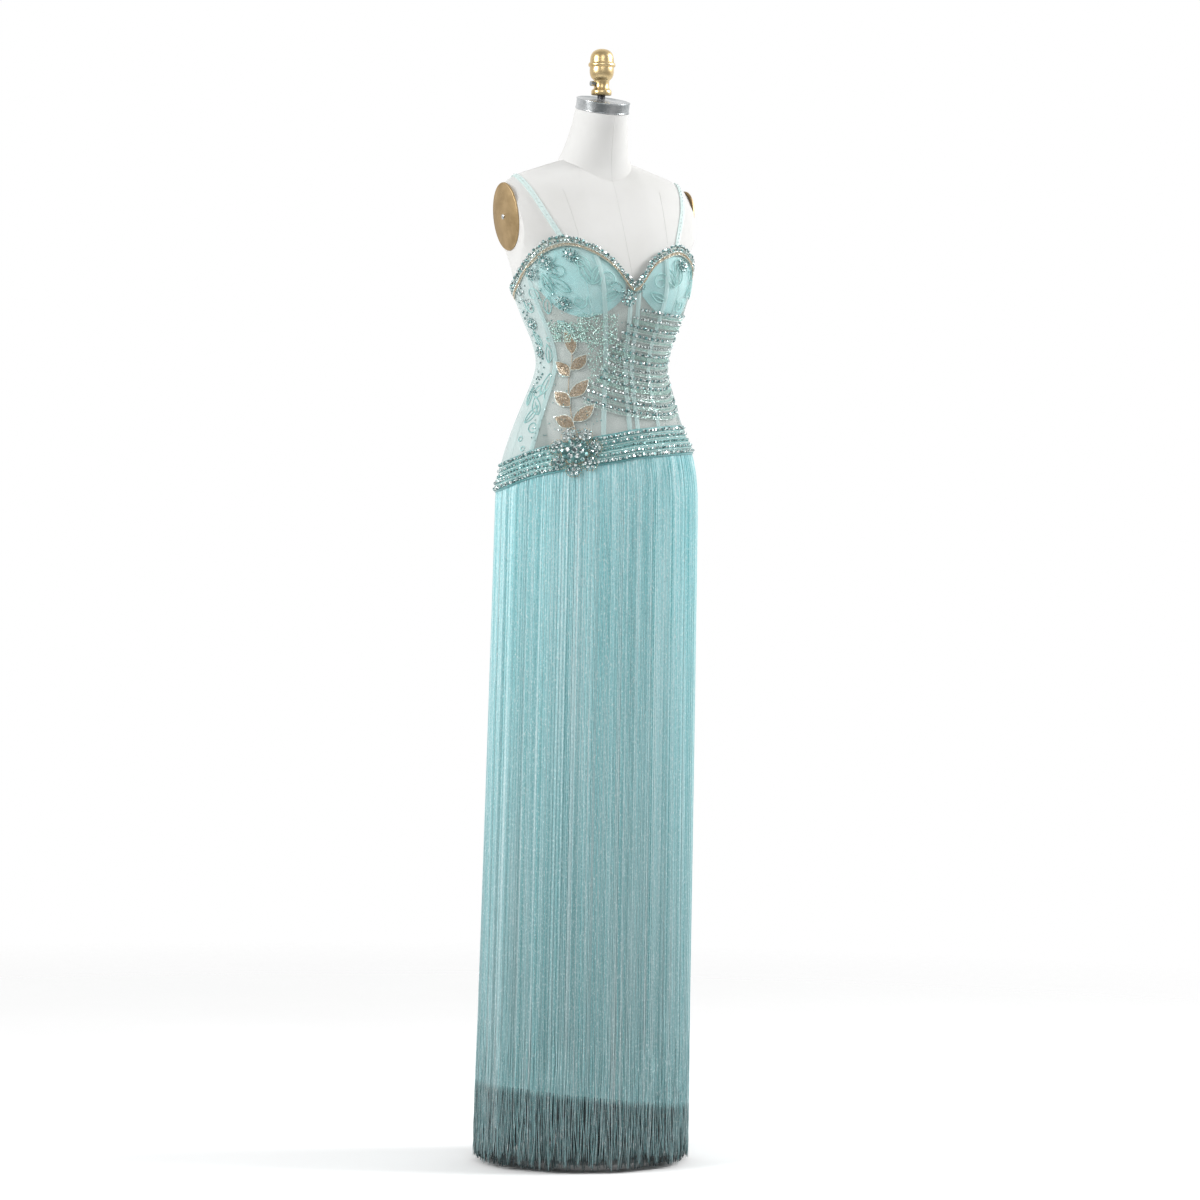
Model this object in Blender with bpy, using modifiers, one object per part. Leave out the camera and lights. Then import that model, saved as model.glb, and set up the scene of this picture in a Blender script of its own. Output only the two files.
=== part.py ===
"""Fringed evening gown on a limbless dress form, in metres, +Z up, the wearer's front towards -Y.

Angles round the body are in degrees from the centre front: positive towards the wearer's left (+X),
negative towards the wearer's right (-X), 180 at the centre back. Heights are above the floor.
"""

import functools
import math
import random

import bmesh
import bpy
from mathutils import Matrix, Vector
from mathutils.bvhtree import BVHTree

# Heights of the main lines
HIP_HEIGHT = 1.089
SKIRT_HEM = 0.117
SKIRT_HEM_TILT = 0.020
FORM_UNDERSIDE = 0.925
SHOULDER_TOP = 1.650
# Heights at which a seam's gap is turned into degrees
BODICE_SEAM_AT, TRIM_SEAM_AT, BELT_SEAM_AT, SKIRT_SEAM_AT = 1.30, 1.45, 1.14, 1.00

# Cloth layers: how far each wall's inside stands off the figure, and how thick it is
CUP_OFFSET, CUP_THICK = 0.0006, 0.0010
PANEL_OFFSET, PANEL_THICK = 0.0029, 0.0012
ON_PANEL_OFFSET = 0.0045
RAISED_OFFSET = 0.0051
BONE_THICK, BONE_WIDTH = 0.0010, 0.0082
TRIM_THICK, TRIM_DEPTH = 0.0024, 0.0135
SCALLOP_VALLEY, SCALLOP_RISE = 0.0012, 0.0028
TAPE_THICK, TAPE_RISE, TAPE_DROP = 0.0018, 0.0120, 0.0010
BELT_HEIGHT, BELT_THICK = 0.046, 0.0022
BELT_LOWER_OFFSET = 0.0068
BELT_PROFILE = (
    # share of the belt's height, offset
    (0.00, BELT_LOWER_OFFSET),
    (0.34, BELT_LOWER_OFFSET),
    (0.52, ON_PANEL_OFFSET),
    (1.00, ON_PANEL_OFFSET),
)
WAIST_SEAM_RISE = 0.022
HIP_DROP = 0.045
SKIRT_MIDDLE = 0.5
BODICE_ROWS = 10
STRAP_WIDTH, STRAP_THICK = 0.0090, 0.0012
SEAM_GAP = 0.0004
BONE_CLEAR = 0.0025
# Rows of the gown's grid: hem, mid skirt, hips, the tape's foot, waist seam, and up to the neckline
MIDDLE_LEVEL, HIP_LEVEL, WAIST_LEVEL = 1, 2, 4
TRIM_LEVEL, NECK_LEVEL = WAIST_LEVEL + BODICE_ROWS, WAIST_LEVEL + BODICE_ROWS + 1

# Fringe
COLUMN_DEGREES = 6
STRANDS_PER_COLUMN = 3
STRAND_SHARE = 0.70
STRAND_LOWEST, STRAND_SPREAD = 0.006, 0.030
# A strand's corners in order: whether each is at its far side, and whether it is outside
STRAND_CORNERS = ((0, 1), (1, 1), (1, 0), (0, 0))

# Seams and bones round the bodice, in degrees
PRINCESS_SEAM, SIDE_SEAM = 30, 90
BONE_ANGLES = (-69, -21, -3, 3, 21, 69, 111, 147, -111, -147)

# The figure inside the cloth, above the hips: height, half width, half depth, centre y, squareness
FIGURE = (
    (HIP_HEIGHT, 0.1680, 0.1305, -0.0106, 2.0),
    (1.122, 0.1660, 0.1280, -0.0105, 2.0),
    (1.155, 0.1600, 0.1225, -0.0105, 2.0),
    (1.188, 0.1495, 0.1150, -0.0108, 2.0),
    (1.221, 0.1375, 0.1060, -0.0120, 2.0),
    (1.254, 0.1245, 0.0960, -0.0135, 2.0),
    (1.287, 0.1130, 0.0862, -0.0165, 2.0),
    (1.308, 0.1090, 0.0832, -0.0178, 2.0),
    (1.330, 0.1115, 0.0845, -0.0180, 2.0),
    (1.353, 0.1190, 0.0885, -0.0175, 2.0),
    (1.386, 0.1325, 0.0970, -0.0130, 2.0),
    (1.419, 0.1430, 0.1035, -0.0060, 2.0),
    (1.452, 0.1520, 0.1060, -0.0005, 2.0),
    (1.475, 0.1560, 0.1040, 0.0040, 2.1),
    (1.500, 0.1660, 0.1000, 0.0080, 2.2),
    (1.525, 0.1850, 0.0940, 0.0115, 2.3),
    (1.551, 0.2000, 0.0865, 0.0140, 2.4),
    (1.580, 0.2050, 0.0755, 0.0155, 2.4),
    (1.605, 0.2050, 0.0635, 0.0160, 2.4),
    (1.625, 0.2050, 0.0480, 0.0160, 2.3),
    (1.640, 0.2050, 0.0300, 0.0160, 2.2),
    (1.649, 0.2050, 0.0100, 0.0160, 2.0),
)
# The skirt hangs straight from the hips to this ring at the floor: half width, half depth, centre y
FLOOR_RING = (0.1750, 0.1480, 0.0)

# Under the gown the form is this much slimmer than the figure, so that it is clear of the cloth
FORM_INSET, NECKLINE_TOP = 0.0018, 1.510

# The form below the hips: height, half width, half depth, centre y
FORM_LOWER = (
    (FORM_UNDERSIDE, 0.112, 0.086, -0.006),
    (0.936, 0.128, 0.099, -0.007),
    (0.965, 0.142, 0.110, -0.008),
    (1.010, 0.157, 0.122, -0.010),
)

# The shoulder's ridge: it slopes from the neck outwards and curves down from the tip
RIDGE_START, RIDGE_SLOPE = 0.058, 0.32
RIDGE_TIP, RIDGE_CURVE = 0.140, 8.0
RIDGE_FARTHEST, RIDGE_HALVINGS = 0.3, 30

# Bust fullness: angle of each apex, height, fullness, and how far it spreads each way
BUST_ANGLE, BUST_HEIGHT, BUST_FULLNESS = 31, 1.446, 0.022
BUST_SPREAD_IN, BUST_SPREAD_OUT = 24, 36
BUST_SPREAD_UP, BUST_SPREAD_DOWN = 0.072, 0.062

# Neck rings: height, centre y, half width, half depth, forward tilt in degrees
NECK = (
    (1.570, 0.0175, 0.0820, 0.0660, 18),
    (1.606, 0.0170, 0.0745, 0.0620, 18),
    (1.632, 0.0165, 0.0675, 0.0580, 18),
    (1.650, 0.0150, 0.0605, 0.0530, 17),
    (1.668, 0.0110, 0.0545, 0.0492, 15),
    (1.700, 0.0040, 0.0475, 0.0457, 13),
    (1.731, -0.0035, 0.0440, 0.0440, 12),
)
NECK_TILT = 12
CAP_RADIUS, CAP_HEIGHT, CAP_BEVEL = 0.0443, 0.0180, 0.0012

# Arm plates, on flat cuts through the form's sides
ARM_CUT_X, ARM_CUT_HEIGHT, ARM_CUT_LEAN = 0.165, 1.551, 0.125
ARM_PLATE_Y, ARM_PLATE_HALF_DEPTH, ARM_PLATE_HALF_HEIGHT = 0.016, 0.041, 0.056
ARM_PLATE_RIM, ARM_PLATE_DOME = 0.0025, 0.0040

# Stand
POLE_RADIUS, TOP_POLE_RADIUS, TOP_POLE_SPARE = 0.0160, 0.0065, 0.0100
REST_GAP = 0.0003
BASE_PROFILE = (
    # radius, height
    (0.000, 0.052),
    (0.027, 0.052),
    (0.029, 0.049),
    (0.029, 0.022),
    (0.036, 0.017),
    (0.108, 0.013),
    (0.115, 0.008),
    (0.115, 0.000),
    (0.000, 0.000),
)
FINIAL_PROFILE = (
    # radius, height
    (0.0000, 1.8335),
    (0.0080, 1.8325),
    (0.0150, 1.8290),
    (0.0190, 1.8215),
    (0.0195, 1.8115),
    (0.0222, 1.8085),
    (0.0222, 1.8045),
    (0.0195, 1.8000),
    (0.0190, 1.7900),
    (0.0130, 1.7820),
    (0.0125, 1.7685),
    (0.0165, 1.7640),
    (0.0168, 1.7570),
    (0.0000, 1.7570),
)
SCREW_HEIGHT, SCREW_RADIUS, SCREW_START, SCREW_END = 1.7755, 0.0042, 0.0133, 0.0205

# Edges sharper than this many degrees are drawn sharp
SHARP_EDGE = 40
# How many sides the form's and the stand's round pieces have, and the rings of the plates
TORSO_SIDES, NECK_SIDES, CAP_SIDES, POLE_SIDES, SCREW_SIDES = 32, 24, 24, 16, 12
BASE_SIDES, FINIAL_SIDES, PLATE_SIDES, PLATE_RINGS = 28, 18, 20, 6

# Lower edge of the hip belt: angle, height
BELT_LINE = (
    (-180, 1.120),
    (-150, 1.106),
    (-115, 1.100),
    (-90, 1.106),
    (-60, 1.127),
    (-36, 1.140),
    (-12, 1.152),
    (0, 1.158),
    (30, 1.165),
    (66, 1.167),
    (90, 1.165),
    (120, 1.157),
    (150, 1.141),
    (180, 1.120),
)
# Upper edge of the bodice: angle, height
NECKLINE = (
    (-180, 1.420),
    (-140, 1.424),
    (-105, 1.436),
    (-85, 1.452),
    (-62, 1.487),
    (-45, 1.508),
    (-30, 1.512),
    (-15, 1.488),
    (0, 1.444),
    (15, 1.487),
    (30, 1.505),
    (45, 1.495),
    (62, 1.475),
    (85, 1.449),
    (105, 1.436),
    (140, 1.424),
    (180, 1.420),
)
# Lower edge of each cup: angle from the centre front, height
CUP_LINE = (
    (12, 1.412),
    (18, 1.398),
    (36, 1.387),
    (54, 1.404),
    (66, 1.440),
)

CUP_LEVEL, CUP_ROW_LEAST, CUP_BELOW_NECKLINE = WAIST_LEVEL + 7, 0.0015, 0.003

# Shoulder straps: angle of the front end, x where it crosses the shoulder, angle of the back end
STRAPS = (
    ("right", -34, -0.152, -148),
    ("left", 31, 0.156, 148),
)
STRAP_AXIS_Y, STRAP_AXIS_HEIGHT = 0.016, 1.500
STRAP_SAMPLES = 120
STRAP_OFFSET, STRAP_END_OFFSET, STRAP_FLAT = 0.0013, 0.0020, 0.0002
# A strap starts this far above the cup's edge, settles over this share of its length, and bends
# outwards early by this power
STRAP_FOOT_RISE, STRAP_SETTLE_SHARE, STRAP_BEND = 0.0006, 1 / 6, 0.8

# Beaded rosettes: name, angle, height, radius, how far the foot stands off the figure
BEAD_GAP = 0.0005
ON_TRIM_OFFSET = RAISED_OFFSET + TRIM_THICK + BEAD_GAP
ON_BELT_OFFSET = BELT_LOWER_OFFSET + BELT_THICK + BEAD_GAP
ON_BONE_OFFSET = RAISED_OFFSET + BONE_THICK + BEAD_GAP
ROSETTES = (
    ("rosette_cup_top", -35, 1.4845, 0.0120, RAISED_OFFSET),
    ("rosette_cup_outer", -52.5, 1.476, 0.0110, ON_TRIM_OFFSET),
    ("rosette_underarm", -65, 1.457, 0.0110, ON_TRIM_OFFSET),
    ("rosette_cup_lower", -46.5, 1.410, 0.0125, RAISED_OFFSET),
    ("rosette_side_upper", -86, 1.378, 0.0100, RAISED_OFFSET),
    ("rosette_side_lower", -91, 1.331, 0.0090, RAISED_OFFSET),
    ("rosette_centre", -5, 1.420, 0.0130, ON_BONE_OFFSET),
    ("rosette_left_cup", 34, 1.475, 0.0115, RAISED_OFFSET),
)
FLOWER_PETALS, PETAL_DEPTH = 6, 0.10
ROSETTE_RISE, ROSETTE_SIDES_A_PETAL, ROSETTE_RINGS = 0.0042, 2, 4
BROOCH_ANGLE, BROOCH_HEIGHT, BROOCH_RADIUS = -38, 1.166, 0.037
BROOCH_RISE, BROOCH_SIDES_A_PETAL, BROOCH_RINGS = 0.0130, 4, 8

AQUA = (0.42, 0.78, 0.77)
COLOURS = {
    # name: colour, roughness, metallic
    "net": (0.68, 0.86, 0.84, 0.60, 0.0),
    "satin": (*AQUA, 0.35, 0.0),
    "beads": (0.30, 0.52, 0.52, 0.20, 0.3),
    "fringe": (0.52, 0.80, 0.80, 0.35, 0.0),
    "linen": (0.82, 0.81, 0.79, 0.90, 0.0),
    "steel": (0.62, 0.63, 0.64, 0.30, 1.0),
    "brass": (0.75, 0.56, 0.28, 0.35, 1.0),
    "tan": (0.55, 0.40, 0.22, 0.45, 0.3),
    "iron": (0.10, 0.10, 0.10, 0.50, 0.6),
}


def clear_scene():
    for obj in list(bpy.data.objects):
        bpy.data.objects.remove(obj)


def smooth(rows, at):
    """The row of a table at this first value: a cubic through the rows, column by column."""
    keys = [row[0] for row in rows]
    at = min(max(at, keys[0]), keys[-1])
    i = max(k for k in range(len(rows) - 1) if keys[k] <= at)
    span = keys[i + 1] - keys[i]
    t = (at - keys[i]) / span
    found = []
    for column in range(1, len(rows[0])):
        value = [row[column] for row in rows]

        def slope(k):
            before, after = max(k - 1, 0), min(k + 1, len(rows) - 1)
            return (value[after] - value[before]) / (keys[after] - keys[before])

        found.append(
            value[i] * (2 * t**3 - 3 * t**2 + 1)
            + slope(i) * span * (t**3 - 2 * t**2 + t)
            + value[i + 1] * (3 * t**2 - 2 * t**3)
            + slope(i + 1) * span * (t**3 - t**2)
        )
    return found


def mix(a, b, share):
    return a + (b - a) * share


def wrapped(angle):
    """The same angle, from -180 to 180."""
    return (angle + 180) % 360 - 180


def shoulder_line(x):
    """Height of the shoulder's ridge at this distance from the middle."""
    past_neck = max(0.0, abs(x) - RIDGE_START)
    past_tip = max(0.0, abs(x) - RIDGE_TIP)
    return SHOULDER_TOP - RIDGE_SLOPE * past_neck - RIDGE_CURVE * past_tip**2


def ridge_reach(height):
    """How far out the shoulder's ridge is still as high as this."""
    near, far = 0.0, RIDGE_FARTHEST
    for _ in range(RIDGE_HALVINGS):
        middle = (near + far) / 2
        if shoulder_line(middle) > height:
            near = middle
        else:
            far = middle
    return near


def section_at(height):
    """Half width, half depth, centre y and squareness of the figure at this height."""
    if height >= HIP_HEIGHT:
        return smooth(FIGURE, height)
    share = height / HIP_HEIGHT
    hip = FIGURE[0][1:4]
    return [mix(low, high, share) for low, high in zip(FLOOR_RING, hip)] + [2.0]


def bust_fullness(angle, height):
    spread = BUST_SPREAD_UP if height > BUST_HEIGHT else BUST_SPREAD_DOWN
    upright = math.exp(-(((height - BUST_HEIGHT) / spread) ** 2))
    total = 0.0
    for side in (-1, 1):
        turn = wrapped(angle) * side - BUST_ANGLE
        reach = BUST_SPREAD_OUT if turn > 0 else BUST_SPREAD_IN
        total += math.exp(-((turn / reach) ** 2))
    return BUST_FULLNESS * upright * total


def ring_point(angle, height, half_width, half_depth, centre_y, squareness=2.0):
    turn = math.radians(angle)
    power = 2 / squareness
    sine, cosine = math.sin(turn), math.cos(turn)
    reach = min(half_width, ridge_reach(height))
    x = math.copysign(abs(sine) ** power, sine) * reach
    under_ridge = max(0.0, shoulder_line(x) - height) / max(1e-6, SHOULDER_TOP - height)
    depth = half_depth * min(1.0, under_ridge) ** 0.5
    y = centre_y - math.copysign(abs(cosine) ** power, cosine) * depth
    return Vector((x, y, height))


def figure_point(angle, height):
    """A point of the smooth figure that the cloth is worn on."""
    point = ring_point(angle, height, *section_at(height))
    turn = math.radians(angle)
    return point + Vector((math.sin(turn), -math.cos(turn), 0)) * bust_fullness(angle, height)


def figure_slopes(angle, height):
    """How the figure's surface runs per degree round the body and per metre up."""
    step_round, step_up = 0.5, 0.002
    across = figure_point(angle + step_round, height) - figure_point(angle - step_round, height)
    upward = figure_point(angle, height + step_up) - figure_point(angle, height - step_up)
    return across / (2 * step_round), upward / (2 * step_up)


def layer_point(angle, height, offset):
    """A point standing off the figure, square to its surface."""
    across, upward = figure_slopes(angle, height)
    return figure_point(angle, height) + across.cross(upward).normalized() * offset


@functools.cache
def cloth_levels(angle):
    """Heights of the gown's rows of points at this angle, from the skirt's hem to the neckline."""
    seam, trim_foot = waist_seam(angle), neckline(angle) - TRIM_DEPTH
    bodice = [mix(seam, trim_foot, row / BODICE_ROWS) for row in range(BODICE_ROWS + 1)]
    bottom = belt_bottom(angle)
    hem, hips = skirt_hem(angle), bottom - HIP_DROP
    skirt = [hem, mix(hem, hips, SKIRT_MIDDLE), hips, bottom - TAPE_DROP]
    return (*skirt, *bodice, neckline(angle))


def row_height(angle, level):
    """Height of one of the gown's rows at any angle, straight between its columns."""
    column = math.floor(angle / COLUMN_DEGREES)
    first, second = column * COLUMN_DEGREES, (column + 1) * COLUMN_DEGREES
    across = angle / COLUMN_DEGREES - column
    return mix(cloth_levels(first)[level], cloth_levels(second)[level], across)


@functools.cache
def grid_point(column, level, offset):
    """A point of the gown's own grid, standing off the figure."""
    if level == MIDDLE_LEVEL:
        return mix(grid_point(column, 0, offset), grid_point(column, HIP_LEVEL, offset), SKIRT_MIDDLE)
    angle = column * COLUMN_DEGREES
    return layer_point(angle, cloth_levels(angle)[level], offset)


def cloth_point(angle, height, offset):
    """A point between four points of the gown's grid, so that it keeps the cloth's own flats."""
    column = math.floor(angle / COLUMN_DEGREES)
    across = angle / COLUMN_DEGREES - column
    levels = [row_height(angle, level) for level in range(NECK_LEVEL + 1)]
    level = max([0] + [k for k in range(NECK_LEVEL) if levels[k] <= height])
    up = (height - levels[level]) / (levels[level + 1] - levels[level])
    below = mix(grid_point(column, level, offset), grid_point(column + 1, level, offset), across)
    above = mix(
        grid_point(column, level + 1, offset), grid_point(column + 1, level + 1, offset), across
    )
    return mix(below, above, up)


def near_point(angle, height, right, up, offset):
    """The point of the cloth at these distances along it from a place on it."""
    across, upward = figure_slopes(angle, height)
    return cloth_point(angle + right / across.length, height + up / upward.length, offset)


def belt_bottom(angle):
    return smooth(BELT_LINE, wrapped(angle))[0]


def waist_seam(angle):
    return belt_bottom(angle) + WAIST_SEAM_RISE


def neckline(angle):
    return smooth(NECKLINE, wrapped(angle))[0]


def skirt_hem(angle):
    return SKIRT_HEM - SKIRT_HEM_TILT * math.sin(math.radians(angle))


def material(name):
    found = bpy.data.materials.get(name)
    if found:
        return found
    red, green, blue, roughness, metallic = COLOURS[name]
    found = bpy.data.materials.new(name)
    found.use_nodes = True
    shader = found.node_tree.nodes["Principled BSDF"]
    shader.inputs["Base Color"].default_value = (red, green, blue, 1)
    shader.inputs["Roughness"].default_value = roughness
    shader.inputs["Metallic"].default_value = metallic
    return found


def add_object(name, bm, material_name):
    mesh = bpy.data.meshes.new(name)
    bm.to_mesh(mesh)
    bm.free()
    mesh.shade_smooth()
    mesh.set_sharp_from_angle(angle=math.radians(SHARP_EDGE))
    obj = bpy.data.objects.new(name, mesh)
    mesh.materials.append(material(material_name))
    bpy.data.collections["gown_on_form"].objects.link(obj)
    return obj


def add_wall(name, columns, rows, place, thickness, material_name):
    """A cloth wall: a grid bent by place(u, v), from 0 to 1 each way, then thickened outwards."""
    bm = bmesh.new()
    bmesh.ops.create_grid(bm, x_segments=columns, y_segments=rows, size=1)
    for vert in bm.verts:
        vert.co = place((vert.co.x + 1) / 2, (vert.co.y + 1) / 2)
    obj = add_object(name, bm, material_name)
    solidify = obj.modifiers.new("thickness", "SOLIDIFY")
    solidify.thickness = thickness
    solidify.offset = 1
    return obj


def seam_angle(angle, height, side):
    """An angle moved half a seam's gap to one side."""
    across, _ = figure_slopes(angle, height)
    return angle + side * SEAM_GAP / 2 / across.length


def snapped(angle, first, last, step):
    """The nearest whole step round the body, if it is inside the piece."""
    nearest = round(angle / step) * step
    return nearest if first < nearest < last else angle


def add_panel(name, start, end, lowest, highest, seam_height, material_name):
    """A panel of the gown between two upright seams and two rows of the gown's grid."""
    first, last = seam_angle(start, seam_height, 1), seam_angle(end, seam_height, -1)

    def place(u, v):
        angle = snapped(mix(first, last, u), first, last, COLUMN_DEGREES)
        level = round(mix(lowest, highest, v))
        height = row_height(angle, level)
        if level == WAIST_LEVEL:
            height += SEAM_GAP / 2 if lowest == WAIST_LEVEL else -SEAM_GAP / 2
        return cloth_point(angle, height, PANEL_OFFSET)

    columns = round((end - start) / COLUMN_DEGREES)
    return add_wall(name, columns, highest - lowest, place, PANEL_THICK, material_name)


def add_bodice_and_cups():
    seams = (
        ("bodice_back_right", -180, -SIDE_SEAM),
        ("bodice_side_right", -SIDE_SEAM, -PRINCESS_SEAM),
        ("bodice_front", -PRINCESS_SEAM, PRINCESS_SEAM),
        ("bodice_side_left", PRINCESS_SEAM, SIDE_SEAM),
        ("bodice_back_left", SIDE_SEAM, 180),
    )
    for name, start, end in seams:
        add_panel(name, start, end, WAIST_LEVEL, NECK_LEVEL, BODICE_SEAM_AT, "net")
    for side, name in ((-1, "cup_right"), (1, "cup_left")):
        start, end = sorted((side * CUP_LINE[0][0], side * CUP_LINE[-1][0]))
        rows = NECK_LEVEL - CUP_LEVEL + 1

        def place(u, v):
            """The cup keeps to the rows of the panel over it, bunched where its lower edge is higher."""
            angle = mix(start, end, u)
            foot = smooth(CUP_LINE, abs(angle))[0]
            step = round(v * rows)
            if step == rows:
                height = row_height(angle, NECK_LEVEL) - CUP_BELOW_NECKLINE
            elif step == 0:
                height = foot
            else:
                height = max(row_height(angle, CUP_LEVEL + step - 1), foot + step * CUP_ROW_LEAST)
            return cloth_point(angle, height, CUP_OFFSET)

        columns = round((end - start) / COLUMN_DEGREES)
        add_wall(name, columns, rows, place, CUP_THICK, "satin")


def add_bones():
    """Boning channels sewn on the bodice, from the trim down to the belt."""
    for count, angle in enumerate(BONE_ANGLES, 1):
        belt_top = belt_bottom(angle) + BELT_HEIGHT + BONE_CLEAR
        rows = [row for row in range(WAIST_LEVEL, TRIM_LEVEL) if row_height(angle, row) > belt_top]

        def place(u, v):
            """Both sides keep to the rows of the cloth below, from the belt's top to the trim's foot."""
            row = round(v * (len(rows) + 1)) - 1
            middle = row_height(angle, rows[min(max(row, 0), len(rows) - 1)])
            across, _ = figure_slopes(angle, middle)
            side = angle + (u - 0.5) * BONE_WIDTH / across.length
            if row < 0:
                height = belt_bottom(side) + BELT_HEIGHT + BONE_CLEAR / 2
            elif row < len(rows):
                height = row_height(side, rows[row])
            else:
                height = row_height(side, TRIM_LEVEL) - BONE_CLEAR / 2
            return cloth_point(side, height, RAISED_OFFSET)

        add_wall(f"bone_{count:02d}", 1, len(rows) + 1, place, BONE_THICK, "satin")


def add_trim():
    """The beaded edging: a band whose upper edge runs in scallops."""
    pieces = (
        ("neckline_trim_right", -SIDE_SEAM, 0, COLUMN_DEGREES / 2),
        ("neckline_trim_left", 0, SIDE_SEAM, COLUMN_DEGREES / 2),
        ("back_trim_left", SIDE_SEAM, 180, COLUMN_DEGREES),
        ("back_trim_right", -180, -SIDE_SEAM, COLUMN_DEGREES),
    )
    for name, start, end, step in pieces:
        first, last = seam_angle(start, TRIM_SEAM_AT, 1), seam_angle(end, TRIM_SEAM_AT, -1)
        columns = round((end - start) / step)

        def place(u, v):
            angle = snapped(mix(first, last, u), first, last, step)
            scallop = SCALLOP_VALLEY + SCALLOP_RISE * (round(u * columns) % 2)
            if v > 0.5:
                height = row_height(angle, NECK_LEVEL) + scallop
            else:
                height = row_height(angle, TRIM_LEVEL)
            return cloth_point(angle, height, RAISED_OFFSET)

        add_wall(name, columns, 1, place, TRIM_THICK, "beads")


def add_belt():
    """Two halves, close on the bodice above and standing off over the fringe's tape below."""
    rows = len(BELT_PROFILE) - 1
    for name, start, end in (("belt_front", -90, 90), ("belt_back", 90, 270)):
        first, last = seam_angle(start, BELT_SEAM_AT, 1), seam_angle(end, BELT_SEAM_AT, -1)

        def place(u, v):
            share, offset = BELT_PROFILE[round(v * rows)]
            angle = snapped(mix(first, last, u), first, last, COLUMN_DEGREES)
            return cloth_point(angle, belt_bottom(angle) + share * BELT_HEIGHT, offset)

        columns = round((end - start) / COLUMN_DEGREES)
        add_wall(name, columns, rows, place, BELT_THICK, "beads")


def add_skirt():
    for name, start, end in (("skirt_front", -90, 90), ("skirt_back", 90, 270)):
        add_panel(name, start, end, 0, WAIST_LEVEL, SKIRT_SEAM_AT, "satin")


def polar_angle(face):
    middle = face.calc_center_median()
    return math.atan2(middle.x, -middle.y)


def add_fringe():
    """A tape round the hips with every strand extruded from its lower edge."""
    rng = random.Random(7)
    turns = 360 // COLUMN_DEGREES * STRANDS_PER_COLUMN
    pitch = 360 / turns
    bm = bmesh.new()
    loops = []
    for index in range(turns):
        for share in (0.0, STRAND_SHARE):
            angle = index * pitch + share * pitch - 180
            low = belt_bottom(angle) - TAPE_DROP
            high = belt_bottom(angle) + TAPE_RISE
            corners = (
                (low, ON_PANEL_OFFSET),
                (high, ON_PANEL_OFFSET),
                (high, ON_PANEL_OFFSET + TAPE_THICK),
                (low, ON_PANEL_OFFSET + TAPE_THICK),
            )
            loops.append([bm.verts.new(cloth_point(angle, *corner)) for corner in corners])
    strands = []
    for index, loop in enumerate(loops):
        following = loops[(index + 1) % len(loops)]
        for side in range(4):
            beside = (side + 1) % 4
            face = bm.faces.new((loop[side], following[side], following[beside], loop[beside]))
            if side == 3 and index % 2 == 0:
                strands.append(face)
    ends = [STRAND_LOWEST + STRAND_SPREAD * rng.random() ** 2 for _ in strands]
    for level in ("hip", "end"):
        made = bmesh.ops.extrude_discrete_faces(bm, faces=strands)["faces"]
        strands = sorted(made, key=polar_angle)
        for count, face in enumerate(strands):
            for vert, (far, outer) in zip(face.verts, STRAND_CORNERS):
                turn = (count + STRAND_SHARE * far) * pitch - 180
                height = belt_bottom(turn) - HIP_DROP if level == "hip" else ends[count]
                vert.co = cloth_point(turn, height, ON_PANEL_OFFSET + TAPE_THICK * outer)
    bmesh.ops.recalc_face_normals(bm, faces=bm.faces)
    return add_object("fringe", bm, "fringe")


def loft_body(rings, segments, place):
    """A closed body through rings, made from a sphere: place(ring, angle) gives each point."""
    bm = bmesh.new()
    bmesh.ops.create_uvsphere(bm, u_segments=segments, v_segments=len(rings) + 1, radius=1)
    for vert in bm.verts:
        polar = math.acos(max(-1.0, min(1.0, vert.co.z))) / math.pi
        index = len(rings) - round(polar * (len(rings) + 1))
        angle = math.degrees(math.atan2(vert.co.y, vert.co.x)) + 90
        if 0 <= index < len(rings):
            vert.co = place(rings[index], angle)
        else:
            ring = rings[0] if index < 0 else rings[-1]
            vert.co = (place(ring, 0) + place(ring, 180)) / 2
    return bm


def torso_mesh():
    heights = [row[0] for row in FORM_LOWER] + [row[0] for row in FIGURE]
    lower = {row[0]: row[1:] for row in FORM_LOWER}

    def place(height, angle):
        if height in lower:
            return ring_point(angle, height, *lower[height])
        if height > NECKLINE_TOP:
            return figure_point(angle, height)
        inset = FORM_INSET * (0.5 + bust_fullness(angle, height) / BUST_FULLNESS)
        return layer_point(angle, height, -inset)

    bm = loft_body(heights, TORSO_SIDES, place)
    for side in (-1, 1):
        cut = bmesh.ops.bisect_plane(
            bm,
            geom=bm.verts[:] + bm.edges[:] + bm.faces[:],
            plane_co=(side * ARM_CUT_X, 0, ARM_CUT_HEIGHT),
            plane_no=(side, 0, -ARM_CUT_LEAN),
            clear_outer=True,
        )
        rim = [item for item in cut["geom_cut"] if isinstance(item, bmesh.types.BMEdge)]
        bmesh.ops.contextual_create(bm, geom=rim)
    bmesh.ops.recalc_face_normals(bm, faces=bm.faces)
    return bm


def neck_mesh():
    def place(ring, angle):
        height, centre_y, half_width, half_depth, tilt = ring
        turn = math.radians(angle)
        y = -math.cos(turn) * half_depth
        return Vector(
            (math.sin(turn) * half_width, centre_y + y, height + y * math.tan(math.radians(tilt)))
        )

    return loft_body(NECK, NECK_SIDES, place)


def add_form():
    """The covered torso and neck in one piece. Returns the torso's surface, for laying the straps on."""
    torso = torso_mesh()
    surface = BVHTree.FromBMesh(torso)
    body = add_object("dress_form", torso, "linen")
    neck = add_object("neck_cutter", neck_mesh(), "linen")
    bpy.data.collections["gown_on_form"].objects.unlink(neck)
    bpy.data.collections["cutters"].objects.link(neck)
    neck.hide_render = True
    neck.display_type = "WIRE"
    union = body.modifiers.new("neck", "BOOLEAN")
    union.operation = "UNION"
    union.object = neck
    return surface


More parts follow.
